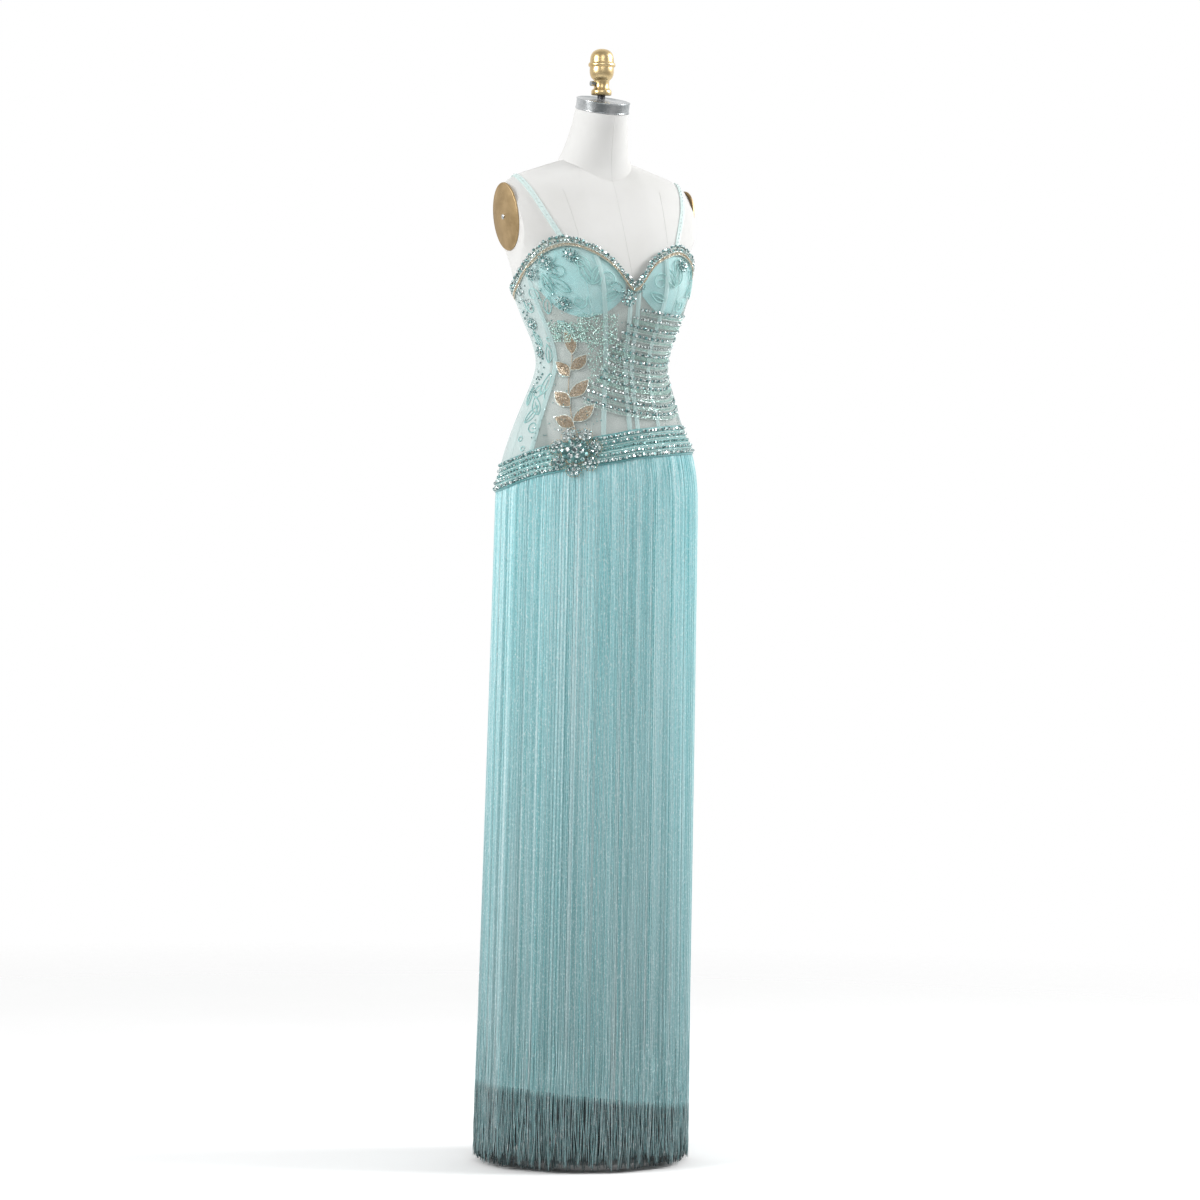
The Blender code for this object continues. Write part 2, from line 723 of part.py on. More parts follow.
def domed_disc(segments, rings, place):
    """A closed disc from a sphere: place(x, y, rise), x and y within 1, rise 0 under it and to 1 on top."""
    bm = bmesh.new()
    bmesh.ops.create_uvsphere(bm, u_segments=segments, v_segments=rings, radius=1)
    for vert in bm.verts:
        x, y, rise = vert.co
        vert.co = place(x, y, max(rise, 0.0))
    return bm


def add_neck_cap():
    bm = bmesh.new()
    bmesh.ops.create_cone(
        bm,
        cap_ends=True,
        segments=CAP_SIDES,
        radius1=CAP_RADIUS,
        radius2=CAP_RADIUS,
        depth=CAP_HEIGHT,
    )
    cap = add_object("neck_cap", bm, "steel")
    height, centre_y = NECK[-1][:2]
    lean = Matrix.Rotation(math.radians(NECK_TILT), 4, "X")
    foot = Vector((0, centre_y, height))
    cap.matrix_world = Matrix.Translation(
        foot + lean @ Vector((0, 0, REST_GAP + CAP_HEIGHT / 2))
    ) @ lean
    bevel = cap.modifiers.new("edge", "BEVEL")
    bevel.width = CAP_BEVEL
    bevel.segments = 1
    return foot + lean @ Vector((0, 0, REST_GAP * 2 + CAP_HEIGHT)), lean @ Vector((0, 0, 1))


def add_arm_plates():
    for side, name in ((-1, "arm_plate_right"), (1, "arm_plate_left")):
        outward = Vector((side, 0, -ARM_CUT_LEAN)).normalized()
        upward = Vector((side * ARM_CUT_LEAN, 0, 1)).normalized()
        centre = Vector((side * ARM_CUT_X, ARM_PLATE_Y, ARM_CUT_HEIGHT)) + outward * REST_GAP

        def place(x, y, rise):
            lift = (ARM_PLATE_RIM + ARM_PLATE_DOME * rise) if rise > 0 else 0.0
            return (
                centre
                + Vector((0, side * x * ARM_PLATE_HALF_DEPTH, 0))
                + upward * (y * ARM_PLATE_HALF_HEIGHT)
                + outward * lift
            )

        add_object(name, domed_disc(PLATE_SIDES, PLATE_RINGS, place), "tan")


def add_turned(name, profile, steps, material_name):
    """A turned piece: its profile, from the top axis point down, with a Screw modifier."""
    bm = bmesh.new()
    verts = [bm.verts.new((radius, 0, height)) for radius, height in profile]
    for first, second in zip(verts, verts[1:]):
        bm.edges.new((first, second))
    obj = add_object(name, bm, material_name)
    screw = obj.modifiers.new("turn", "SCREW")
    screw.steps = screw.render_steps = steps
    screw.use_merge_vertices = True
    screw.merge_threshold = 0.00005
    return obj


def rod_mesh(radius, bottom, top):
    bm = bmesh.new()
    bmesh.ops.create_cone(
        bm, cap_ends=True, segments=POLE_SIDES, radius1=radius, radius2=radius, depth=top - bottom
    )
    bmesh.ops.translate(bm, verts=bm.verts, vec=(0, 0, (bottom + top) / 2))
    return bm


def add_stand(cap_top, cap_normal):
    add_turned("base", BASE_PROFILE, BASE_SIDES, "steel")
    lower = rod_mesh(POLE_RADIUS, BASE_PROFILE[0][1] + REST_GAP, FORM_UNDERSIDE - REST_GAP)
    add_object("pole_lower", lower, "steel")
    finial_foot = FINIAL_PROFILE[-1][1]
    upper = rod_mesh(TOP_POLE_RADIUS, cap_top.z - TOP_POLE_SPARE, finial_foot - REST_GAP)
    cut = bmesh.ops.bisect_plane(
        upper,
        geom=upper.verts[:] + upper.edges[:] + upper.faces[:],
        plane_co=cap_top,
        plane_no=cap_normal,
        clear_inner=True,
    )
    rim = [item for item in cut["geom_cut"] if isinstance(item, bmesh.types.BMEdge)]
    bmesh.ops.contextual_create(upper, geom=rim)
    bmesh.ops.recalc_face_normals(upper, faces=upper.faces)
    add_object("pole_upper", upper, "iron")
    add_turned("finial", FINIAL_PROFILE, FINIAL_SIDES, "brass")
    bm = bmesh.new()
    bmesh.ops.create_cone(
        bm,
        cap_ends=True,
        segments=SCREW_SIDES,
        radius1=SCREW_RADIUS,
        radius2=SCREW_RADIUS,
        depth=SCREW_END - SCREW_START,
    )
    screw = add_object("thumb_screw", bm, "steel")
    screw.rotation_euler = (0, math.radians(90), 0)
    screw.location = (-(SCREW_START + SCREW_END) / 2, 0, SCREW_HEIGHT)


def taut(samples):
    """The points that a tight strap touches: those that stand proud of a line between their neighbours."""
    kept = list(samples)
    dropped = True
    while dropped:
        dropped = False
        for i in range(1, len(kept) - 1):
            before, here, after = kept[i - 1][0], kept[i][0], kept[i + 1][0]
            chord = (after - before).normalized()
            lift = (here - before) - chord * (here - before).dot(chord)
            if lift.dot(kept[i][1]) < STRAP_FLAT:
                del kept[i]
                dropped = True
                break
    return kept


def strap_end(angle):
    """Where a strap meets the gown's upper edge, and how far round the strap's axis that is."""
    end = layer_point(angle, neckline(angle) + STRAP_FOOT_RISE, PANEL_OFFSET)
    turn = math.degrees(math.atan2(end.z - STRAP_AXIS_HEIGHT, STRAP_AXIS_Y - end.y))
    return end, turn if turn > -90 else turn + 360


def add_straps(surface):
    """Each strap runs from the cup's top edge over the shoulder to the top of the back."""
    for side, front_angle, shoulder_x, back_angle in STRAPS:
        (front, start_turn), (back, end_turn) = strap_end(front_angle), strap_end(back_angle)
        samples = []
        for step in range(STRAP_SAMPLES + 1):
            turn = mix(start_turn, end_turn, step / STRAP_SAMPLES)
            if turn < 90:
                share = (turn - start_turn) / (90 - start_turn)
                x = mix(front.x, shoulder_x, share**STRAP_BEND)
            else:
                x = mix(shoulder_x, back.x, (turn - 90) / (end_turn - 90))
            way = Vector((0, -math.cos(math.radians(turn)), math.sin(math.radians(turn))))
            hit, normal, _, _ = surface.ray_cast(Vector((x, STRAP_AXIS_Y, STRAP_AXIS_HEIGHT)), way)
            normal = normal if normal.dot(way) > 0 else -normal
            from_end = min(step, STRAP_SAMPLES - step) / STRAP_SAMPLES
            offset = mix(STRAP_END_OFFSET, STRAP_OFFSET, min(1.0, from_end / STRAP_SETTLE_SHARE))
            samples.append((hit + normal * offset, normal))
        middles = taut(samples)

        def place(u, v):
            index = round(v * (len(middles) - 1))
            before = middles[max(0, index - 1)][0]
            after = middles[min(len(middles) - 1, index + 1)][0]
            point, normal = middles[index]
            beside = (after - before).cross(normal).normalized()
            return point + beside * (u - 0.5) * STRAP_WIDTH

        add_wall(f"strap_{side}", 1, len(middles) - 1, place, STRAP_THICK, "satin")


def add_flower(name, angle, height, radius, rise, offset, sides_a_petal, rings):
    def place(x, y, lift):
        turn = math.atan2(y, x)
        bloom = radius * (1 - PETAL_DEPTH + PETAL_DEPTH * math.cos(FLOWER_PETALS * turn))
        return near_point(angle, height, x * bloom, y * bloom, offset + lift * rise)

    add_object(name, domed_disc(FLOWER_PETALS * sides_a_petal, rings, place), "beads")


def add_rosettes():
    small = ROSETTE_SIDES_A_PETAL, ROSETTE_RINGS
    for name, angle, height, radius, offset in ROSETTES:
        add_flower(name, angle, height, radius, ROSETTE_RISE, offset, *small)
    place = BROOCH_ANGLE, BROOCH_HEIGHT, BROOCH_RADIUS
    large = BROOCH_SIDES_A_PETAL, BROOCH_RINGS
    add_flower("brooch", *place, BROOCH_RISE, ON_BELT_OFFSET, *large)


def main():
    clear_scene()
    for name in ("gown_on_form", "cutters"):
        found = bpy.data.collections.new(name)
        bpy.context.scene.collection.children.link(found)
    surface = add_form()
    cap_top, cap_normal = add_neck_cap()
    add_arm_plates()
    add_stand(cap_top, cap_normal)
    add_bodice_and_cups()
    add_bones()
    add_trim()
    add_belt()
    add_skirt()
    add_fringe()
    add_straps(surface)
    add_rosettes()


main()
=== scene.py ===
"""The look of a fringed evening gown on a limbless dress form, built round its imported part.

Angles round the body are in degrees from the centre front: positive towards the wearer's left (+X),
negative towards the wearer's right (-X), 180 at the centre back. Sizes are in metres.
"""

import math

import bmesh
import bpy
import numpy as np
from mathutils import Matrix, Vector
from mathutils.bvhtree import BVHTree


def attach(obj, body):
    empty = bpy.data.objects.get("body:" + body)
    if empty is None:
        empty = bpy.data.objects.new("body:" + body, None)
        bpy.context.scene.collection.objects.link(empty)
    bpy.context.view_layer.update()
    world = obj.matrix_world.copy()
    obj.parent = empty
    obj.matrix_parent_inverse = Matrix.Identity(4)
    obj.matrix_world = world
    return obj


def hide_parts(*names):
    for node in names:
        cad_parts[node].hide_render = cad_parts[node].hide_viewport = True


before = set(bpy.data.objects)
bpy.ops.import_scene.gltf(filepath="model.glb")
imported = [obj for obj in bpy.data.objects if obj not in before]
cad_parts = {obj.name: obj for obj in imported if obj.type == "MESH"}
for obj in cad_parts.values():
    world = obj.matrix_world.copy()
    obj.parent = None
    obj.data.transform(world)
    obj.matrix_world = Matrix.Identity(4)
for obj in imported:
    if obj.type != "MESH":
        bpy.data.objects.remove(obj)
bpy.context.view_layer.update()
rng = np.random.default_rng(11)

# Heights of the main lines
HIP_HEIGHT = 1.089
SKIRT_HEM = 0.117
SKIRT_HEM_TILT = 0.020
FORM_UNDERSIDE = 0.925
SHOULDER_TOP = 1.650
NECK_SLOPE_START, TIP_SLOPE_START = 0.058, 0.140
NECK_SLOPE, TIP_SLOPE = 0.32, 8.0

# Cloth layers: how far each wall's inside stands off the figure, and how thick it is
CUP_OFFSET, CUP_THICK = 0.0006, 0.0010
PANEL_OFFSET, PANEL_THICK = 0.0029, 0.0012
ON_PANEL_OFFSET = 0.0045
RAISED_OFFSET = 0.0051
BONE_THICK, BONE_WIDTH = 0.0010, 0.0082
TRIM_THICK, TRIM_DEPTH = 0.0014, 0.0135
TAPE_THICK, TAPE_RISE, TAPE_DROP = 0.0012, 0.0120, 0.0010
BELT_HEIGHT, BELT_THICK = 0.046, 0.0018
BELT_LOWER_OFFSET = 0.0082
BELT_TURN_IN = (0.34, 0.52)
WAIST_SEAM_RISE = 0.022
STRAP_WIDTH, STRAP_THICK = 0.0085, 0.0012
SEAM_GAP = 0.0004
# How many bundles and tufts the strands gather into, and how far each strand moves aside for them
BUNDLES, BUNDLE_GATHER = 178, 0.0008
TUFTS, TUFT_GATHER = 52, 0.0030
# Straps and bone tape are cut this wide and their edges turned under
TAPE_CUT = 0.010
# Gaps at the ends of the belt and trim pieces, and of the underskirt's, in degrees
TRIM_END_GAP, SKIRT_END_GAP = 0.05, 0.07
TRIM_OFFSET = RAISED_OFFSET - 0.0005
# Bone tape: its underside and its top off the figure, the gap at each end, the rise of the bone under it
BONE_TAPE_UNDER, BONE_TAPE_TOP = RAISED_OFFSET - 0.0006, RAISED_OFFSET - 0.0001
BONE_END_GAP, BONE_RISE = 0.0012, 0.0007
# Across the tape: place in shares of its width, share of that rise
BONE_PROFILE = (
    (-0.50, 0.00),
    (-0.34, 0.05),
    (-0.20, 0.60),
    (0.00, 1.00),
    (0.20, 0.60),
    (0.34, 0.05),
    (0.50, 0.00),
)
# Radius of the lace's cord, of the cord's ends, of the form's seams and of the stitches
LACE_CORD, LACE_CORD_END, FORM_SEAM, STITCH = 0.00090, 0.0003, 0.00045, 0.00020
STITCH_RISE = 0.00030
# Strands: how far they start inside the belt, how far every second one stands in and out, the gap they
# keep to the cloth, and how low they may end
STRAND_TUCK, STRAND_STAGGER = 0.003, (-0.0004, 0.0006)
STRAND_GAP, STRAND_FLOOR = 0.0008, 0.0015
# Dark strands behind their feet, painted shade in the gaps below the hem: start above the hem, lowest end and
# its spread
SHADE_STRAND_TUCK, SHADE_STRAND_END, SHADE_STRAND_SPREAD = 0.012, 0.005, 0.026
# Scallops along the neckline: least rise, rise of each, how many in half a turn
SCALLOP_BASE, SCALLOP_RISE, SCALLOPS = 0.0008, 0.0030, 24
# Lace keeps this far from the trim and the belt, and stitches this far
LACE_GAP, STITCH_GAP = 0.001, 0.002
# Stones on the straps: first and last place from the ends, spacing, radius
STRAP_STONE_ENDS, STRAP_STONE_SPACING, STRAP_STONE = (0.012, 0.008), 0.0085, 0.0010

# Seams and bones round the bodice, in degrees
PRINCESS_SEAM, SIDE_SEAM = 30, 90
BONE_ANGLES = (-69, -21, -3, 3, 21, 69, 111, 147, -111, -147)

# The figure inside the cloth, above the hips: height, half width, half depth, centre y, squareness
FIGURE = (
    (HIP_HEIGHT, 0.1680, 0.1305, -0.0106, 2.0),
    (1.122, 0.1660, 0.1280, -0.0105, 2.0),
    (1.155, 0.1600, 0.1225, -0.0105, 2.0),
    (1.188, 0.1495, 0.1150, -0.0108, 2.0),
    (1.221, 0.1375, 0.1060, -0.0120, 2.0),
    (1.254, 0.1245, 0.0960, -0.0135, 2.0),
    (1.287, 0.1130, 0.0862, -0.0165, 2.0),
    (1.308, 0.1090, 0.0832, -0.0178, 2.0),
    (1.330, 0.1115, 0.0845, -0.0180, 2.0),
    (1.353, 0.1190, 0.0885, -0.0175, 2.0),
    (1.386, 0.1325, 0.0970, -0.0130, 2.0),
    (1.419, 0.1430, 0.1035, -0.0060, 2.0),
    (1.452, 0.1520, 0.1060, -0.0005, 2.0),
    (1.475, 0.1560, 0.1040, 0.0040, 2.1),
    (1.500, 0.1660, 0.1000, 0.0080, 2.2),
    (1.525, 0.1850, 0.0940, 0.0115, 2.3),
    (1.551, 0.2000, 0.0865, 0.0140, 2.4),
    (1.580, 0.2050, 0.0755, 0.0155, 2.4),
    (1.605, 0.2050, 0.0635, 0.0160, 2.4),
    (1.625, 0.2050, 0.0480, 0.0160, 2.3),
    (1.640, 0.2050, 0.0300, 0.0160, 2.2),
    (1.649, 0.2050, 0.0100, 0.0160, 2.0),
)
# The skirt hangs straight from the hips to this ring at the floor: half width, half depth, centre y
FLOOR_RING = (0.1750, 0.1480, 0.0)

# Under the gown the form is this much slimmer than the figure, and is full again above these heights
FORM_INSET, INSET_ENDS = 0.0018, (1.500, 1.530)
# The form below the hips: height, half width, half depth, centre y, squareness
FORM_LOWER = (
    (FORM_UNDERSIDE, 0.112, 0.086, -0.006, 2.0),
    (0.928, 0.120, 0.092, -0.0065, 2.0),
    (0.936, 0.128, 0.099, -0.007, 2.0),
    (0.965, 0.142, 0.110, -0.008, 2.0),
    (1.010, 0.157, 0.122, -0.010, 2.0),
)

# Bust fullness: angle of each apex, height, fullness, and how far it spreads each way
BUST_ANGLE, BUST_HEIGHT, BUST_FULLNESS = 31, 1.446, 0.022
BUST_SPREAD_IN, BUST_SPREAD_OUT = 24, 36
BUST_SPREAD_UP, BUST_SPREAD_DOWN = 0.072, 0.062

# Neck rings: height, centre y, half width, half depth, forward tilt in degrees
NECK = (
    (1.570, 0.0175, 0.0820, 0.0660, 18),
    (1.606, 0.0170, 0.0745, 0.0620, 18),
    (1.632, 0.0165, 0.0675, 0.0580, 18),
    (1.650, 0.0150, 0.0605, 0.0530, 17),
    (1.668, 0.0110, 0.0545, 0.0492, 15),
    (1.700, 0.0040, 0.0475, 0.0457, 13),
    (1.731, -0.0035, 0.0440, 0.0440, 12),
)
NECK_TILT = 12

# Arm plates, on flat cuts through the form's sides
ARM_CUT_X, ARM_CUT_HEIGHT, ARM_CUT_LEAN = 0.165, 1.551, 0.125
ARM_PLATE_Y, ARM_PLATE_HALF_DEPTH, ARM_PLATE_HALF_HEIGHT = 0.016, 0.041, 0.056
REST_GAP = 0.0003
# Arm plate, from the middle of its underside round the rim: share of its radius, height
PLATE_PROFILE = (
    (0.000, 0.0000),
    (1.000, 0.0000),
    (1.000, 0.0014),
    (0.985, 0.0026),
    (0.965, 0.0030),
    (0.945, 0.0027),
    (0.925, 0.0029),
    (0.800, 0.0043),
    (0.600, 0.0055),
    (0.300, 0.0063),
    (0.090, 0.0065),
    (0.000, 0.0065),
)
# Its screw in the same way, with its radius and how high it stands
SCREW_PROFILE = (
    (0.00, 0.0000),
    (1.00, 0.0000),
    (1.00, 0.0010),
    (0.80, 0.0016),
    (0.35, 0.0019),
    (0.30, 0.0012),
    (0.00, 0.0012),
)
SCREW_RADIUS, SCREW_FOOT = 0.0042, 0.0064

# Seams of the form's cover: where they start, the tops of those at front, back and sides, and the
# princess seams' heights and distances from the middle
FORM_SEAM_FOOT, FORM_SEAM_STEP = 0.935, 0.006
FORM_SEAM_TOPS = ((0, 1.725), (180, 1.725), (-90, 1.46), (90, 1.46))
FORM_PRINCESS_HEIGHTS, FORM_PRINCESS_X = (0.93, 1.30, 1.45, 1.60), (0.060, 0.046, 0.076, 0.092)

# Neck cap in its own tilted place: radius, height above its foot
CAP_PROFILE = (
    (0.0000, 0.0000),
    (0.0436, 0.0000),
    (0.0446, 0.0004),
    (0.0449, 0.0012),
    (0.0446, 0.0020),
    (0.0440, 0.0024),
    (0.0440, 0.0156),
    (0.0446, 0.0160),
    (0.0449, 0.0168),
    (0.0446, 0.0176),
    (0.0436, 0.0180),
    (0.0415, 0.0180),
    (0.0409, 0.0175),
    (0.0405, 0.0172),
    (0.0000, 0.0172),
)
# Finial: radius, height
FINIAL_PROFILE = (
    (0.0000, 1.8335),
    (0.0045, 1.8333),
    (0.0088, 1.8322),
    (0.0126, 1.8303),
    (0.0155, 1.8277),
    (0.0176, 1.8245),
    (0.0189, 1.8205),
    (0.0195, 1.8160),
    (0.0197, 1.8112),
    (0.0213, 1.8100),
    (0.0222, 1.8086),
    (0.0224, 1.8065),
    (0.0222, 1.8047),
    (0.0211, 1.8036),
    (0.0197, 1.8030),
    (0.0200, 1.7985),
    (0.0199, 1.7940),
    (0.0190, 1.7895),
    (0.0171, 1.7855),
    (0.0149, 1.7830),
    (0.0132, 1.7815),
    (0.0126, 1.7798),
    (0.0124, 1.7745),
    (0.0126, 1.7690),
    (0.0140, 1.7668),
    (0.0161, 1.7651),
    (0.0168, 1.7632),
    (0.0168, 1.7585),
    (0.0160, 1.7570),
    (0.0000, 1.7570),
)

# Lower edge of the hip belt: angle, height
BELT_LINE = (
    (-180, 1.120),
    (-150, 1.106),
    (-115, 1.100),
    (-90, 1.106),
    (-60, 1.127),
    (-36, 1.140),
    (-12, 1.152),
    (0, 1.158),
    (30, 1.165),
    (66, 1.167),
    (90, 1.165),
    (120, 1.157),
    (150, 1.141),
    (180, 1.120),
)
# Upper edge of the bodice: angle, height
NECKLINE = (
    (-180, 1.420),
    (-140, 1.424),
    (-105, 1.436),
    (-85, 1.452),
    (-62, 1.487),
    (-45, 1.508),
    (-30, 1.512),
    (-15, 1.488),
    (0, 1.444),
    (15, 1.487),
    (30, 1.505),
    (45, 1.495),
    (62, 1.475),
    (85, 1.449),
    (105, 1.436),
    (140, 1.424),
    (180, 1.420),
)
# Lower edge of each cup: angle from the centre front, height
CUP_LINE = (
    (6, 1.424),
    (12, 1.409),
    (20, 1.396),
    (36, 1.387),
    (54, 1.404),
    (68, 1.446),
)
CUP_BELOW_NECKLINE = 0.003

# Shoulder straps: angle of the front end, x where it crosses the shoulder, angle of the back end
STRAPS = (
    ("right", -34, -0.152, -148),
    ("left", 31, 0.156, 148),
)
STRAP_AXIS_Y, STRAP_AXIS_HEIGHT = 0.016, 1.500
STRAP_SAMPLES = 200
STRAP_OFFSET, STRAP_END_OFFSET, STRAP_FLAT = 0.0013, 0.0020, 0.0001
# A strap starts this far above the cup's edge, settles over this share of its length, and bends
# outwards early by this power
STRAP_FOOT_RISE, STRAP_SETTLE_SHARE, STRAP_BEND = 0.0006, 1 / 6, 0.8

# Beaded rosettes: name, angle, height, radius, how far the foot stands off the figure
BEAD_GAP = 0.0005
ON_TRIM_OFFSET = RAISED_OFFSET + TRIM_THICK + BEAD_GAP
ON_BONE_OFFSET = RAISED_OFFSET + BONE_THICK + BEAD_GAP
ROSETTES = (
    ("cup_top", -35, 1.4845, 0.0125, RAISED_OFFSET),
    ("cup_outer", -52.5, 1.476, 0.0115, ON_TRIM_OFFSET),
    ("underarm", -65, 1.457, 0.0110, ON_TRIM_OFFSET),
    ("cup_lower", -46.5, 1.410, 0.0130, RAISED_OFFSET),
    ("side_upper", -86, 1.378, 0.0105, RAISED_OFFSET),
    ("side_lower", -91, 1.331, 0.0095, RAISED_OFFSET),
    ("centre", -5, 1.420, 0.0135, ON_BONE_OFFSET),
    ("left_cup", 34, 1.475, 0.0120, RAISED_OFFSET),
)
BROOCH_ANGLE, BROOCH_HEIGHT, BROOCH_RADIUS = -38, 1.166, 0.0400

# Soft folds of the underskirt and fringe: angle, width in degrees, rise at the hem, height where it starts
FOLDS = (
    (-168, 11, 0.0030, 0.86),
    (-146, 8, -0.0022, 0.74),
    (-121, 12, 0.0026, 0.90),
    (-97, 9, -0.0020, 0.80),
    (-72, 8, 0.0032, 0.88),
    (-55, 9, -0.0024, 0.70),
    (-38, 7, 0.0022, 0.82),
    (-19, 8, -0.0026, 0.76),
    (-4, 7, 0.0026, 0.93),
    (14, 9, -0.0018, 0.68),
    (33, 8, 0.0030, 0.86),
    (57, 11, -0.0022, 0.78),
    (80, 9, 0.0028, 0.84),
    (104, 12, -0.0024, 0.72),
    (131, 10, 0.0030, 0.90),
    (155, 9, -0.0018, 0.76),
)


def smooth(rows, at):
    """The columns of a table at these first values: a cubic through the rows."""
    table = np.array(rows, float)
    keys, values = table[:, 0], table[:, 1:]
    at = np.clip(at, keys[0], keys[-1])
    i = np.clip(np.searchsorted(keys, at, side="right") - 1, 0, len(keys) - 2)
    slopes = np.empty_like(values)
    slopes[1:-1] = (values[2:] - values[:-2]) / (keys[2:] - keys[:-2])[:, None]
    slopes[0] = (values[1] - values[0]) / (keys[1] - keys[0])
    slopes[-1] = (values[-1] - values[-2]) / (keys[-1] - keys[-2])
    span = (keys[i + 1] - keys[i])[..., None]
    t = (at - keys[i])[..., None] / span
    return (
        values[i] * (2 * t**3 - 3 * t**2 + 1)
        + slopes[i] * span * (t**3 - 2 * t**2 + t)
        + values[i + 1] * (3 * t**2 - 2 * t**3)
        + slopes[i + 1] * span * (t**3 - t**2)
    )


def mix(a, b, share):
    return a + (b - a) * share


def ease(low, high, at):
    """0 below low, 1 above high, and smooth between."""
    t = np.clip((at - low) / (high - low), 0, 1)
    return t * t * (3 - 2 * t)


def wrapped(angle):
    """The same angle, from -180 to 180."""
    return (np.asarray(angle, float) + 180) % 360 - 180


def unit(vectors):
    return vectors / np.maximum(1e-12, np.linalg.norm(vectors, axis=-1, keepdims=True))


def shoulder_line(x):
    """Height of the shoulder's ridge at this distance from the middle."""
    past_neck = np.maximum(0.0, np.abs(x) - NECK_SLOPE_START)
    past_tip = np.maximum(0.0, np.abs(x) - TIP_SLOPE_START)
    return SHOULDER_TOP - NECK_SLOPE * past_neck - TIP_SLOPE * past_tip**2


def ridge_reach(height):
    """How far out the shoulder's ridge is still as high as this."""
    x = np.linspace(NECK_SLOPE_START, 0.3, 600)
    return np.interp(height, shoulder_line(x)[::-1], x[::-1])


def section_at(height):
    """Half width, half depth, centre y and squareness of the figure at this height."""
    above = smooth(FIGURE, height)
    share = np.clip(height / HIP_HEIGHT, 0, 1)[..., None]
    floor = np.array([*FLOOR_RING, 2.0])
    hip = np.array(FIGURE[0][1:])
    return np.where(height[..., None] >= HIP_HEIGHT, above, mix(floor, hip, share))


def bust_fullness(angle, height):
    spread = np.where(height > BUST_HEIGHT, BUST_SPREAD_UP, BUST_SPREAD_DOWN)
    upright = np.exp(-(((height - BUST_HEIGHT) / spread) ** 2))
    total = 0.0
    for side in (-1, 1):
        turn = wrapped(angle) * side - BUST_ANGLE
        reach = np.where(turn > 0, BUST_SPREAD_OUT, BUST_SPREAD_IN)
        total = total + np.exp(-((turn / reach) ** 2))
    return BUST_FULLNESS * upright * total


def ring_points(angle, height, section):
    half_width, half_depth, centre_y, squareness = np.moveaxis(section, -1, 0)
    turn = np.radians(angle)
    sine, cosine = np.sin(turn), np.cos(turn)
    power = 2 / squareness
    x = np.sign(sine) * np.abs(sine) ** power * np.minimum(half_width, ridge_reach(height))
    under_ridge = (shoulder_line(x) - height) / np.maximum(1e-6, SHOULDER_TOP - height)
    depth = half_depth * np.sqrt(np.clip(under_ridge, 0, 1))
    y = centre_y - np.sign(cosine) * np.abs(cosine) ** power * depth
    return np.stack([x, y, height], -1)


def level(angle):
    """Level unit vectors that point out from the middle at these angles."""
    turn = np.radians(angle)
    return np.stack([np.sin(turn), -np.cos(turn), 0 * turn], -1)


def figure(angle, height):
    """Points of the smooth figure that the cloth is worn on."""
    angle, height = np.broadcast_arrays(np.asarray(angle, float), np.asarray(height, float))
    points = ring_points(angle, height, section_at(height))
    return points + level(angle) * bust_fullness(angle, height)[..., None]


def figure_slopes(angle, height):
    """How the figure's surface runs per degree round the body and per metre up."""
    step_round, step_up = 0.5, 0.002
    across = figure(angle + step_round, height) - figure(angle - step_round, height)
    upward = figure(angle, height + step_up) - figure(angle, height - step_up)
    return across / (2 * step_round), upward / (2 * step_up)


def figure_axes(angle, height):
    """Unit vectors across, up and out of the figure's surface."""
    angle, height = np.broadcast_arrays(np.asarray(angle, float), np.asarray(height, float))
    across, upward = figure_slopes(angle, height)
    outward = unit(np.cross(across, upward))
    across = unit(across)
    return across, np.cross(outward, across), outward


def drape(angle, height):
    """How far the underskirt's soft folds lift it off the straight figure."""
    lift = 0.0
    for middle, width, rise, start in FOLDS:
        share = np.clip((start - height) / (start - SKIRT_HEM), 0, 1.1)
        lift = lift + rise * np.exp(-((wrapped(angle - middle) / width) ** 2)) * share**1.3
    return lift


def cloth(angle, height, offset):
    """Points of a layer of the gown, standing off the figure."""
    angle, height = np.broadcast_arrays(np.asarray(angle, float), np.asarray(height, float))
    outward = figure_axes(angle, height)[2]
    lift = np.asarray(offset + drape(angle, height))
    return figure(angle, height) + outward * lift[..., None]


def near(angle, height, right, up):
    """The angle and height at these distances along the cloth from a place on it."""
    across, upward = figure_slopes(np.asarray(angle, float), np.asarray(height, float))
    return (
        angle + right / np.linalg.norm(across, axis=-1),
        height + up / np.linalg.norm(upward, axis=-1),
    )


def belt_bottom(angle):
    return smooth(BELT_LINE, wrapped(angle))[..., 0]


def neckline(angle):
    return smooth(NECKLINE, wrapped(angle))[..., 0]


def cup_foot(angle):
    return smooth(CUP_LINE, np.abs(angle))[..., 0]


def skirt_hem(angle):
    return SKIRT_HEM - SKIRT_HEM_TILT * np.sin(np.radians(angle))


def belt_offset(share):
    """The belt stands off over the fringe's tape below and lies close on the bodice above."""
    return mix(BELT_LOWER_OFFSET, ON_PANEL_OFFSET, ease(*BELT_TURN_IN, np.asarray(share, float)))


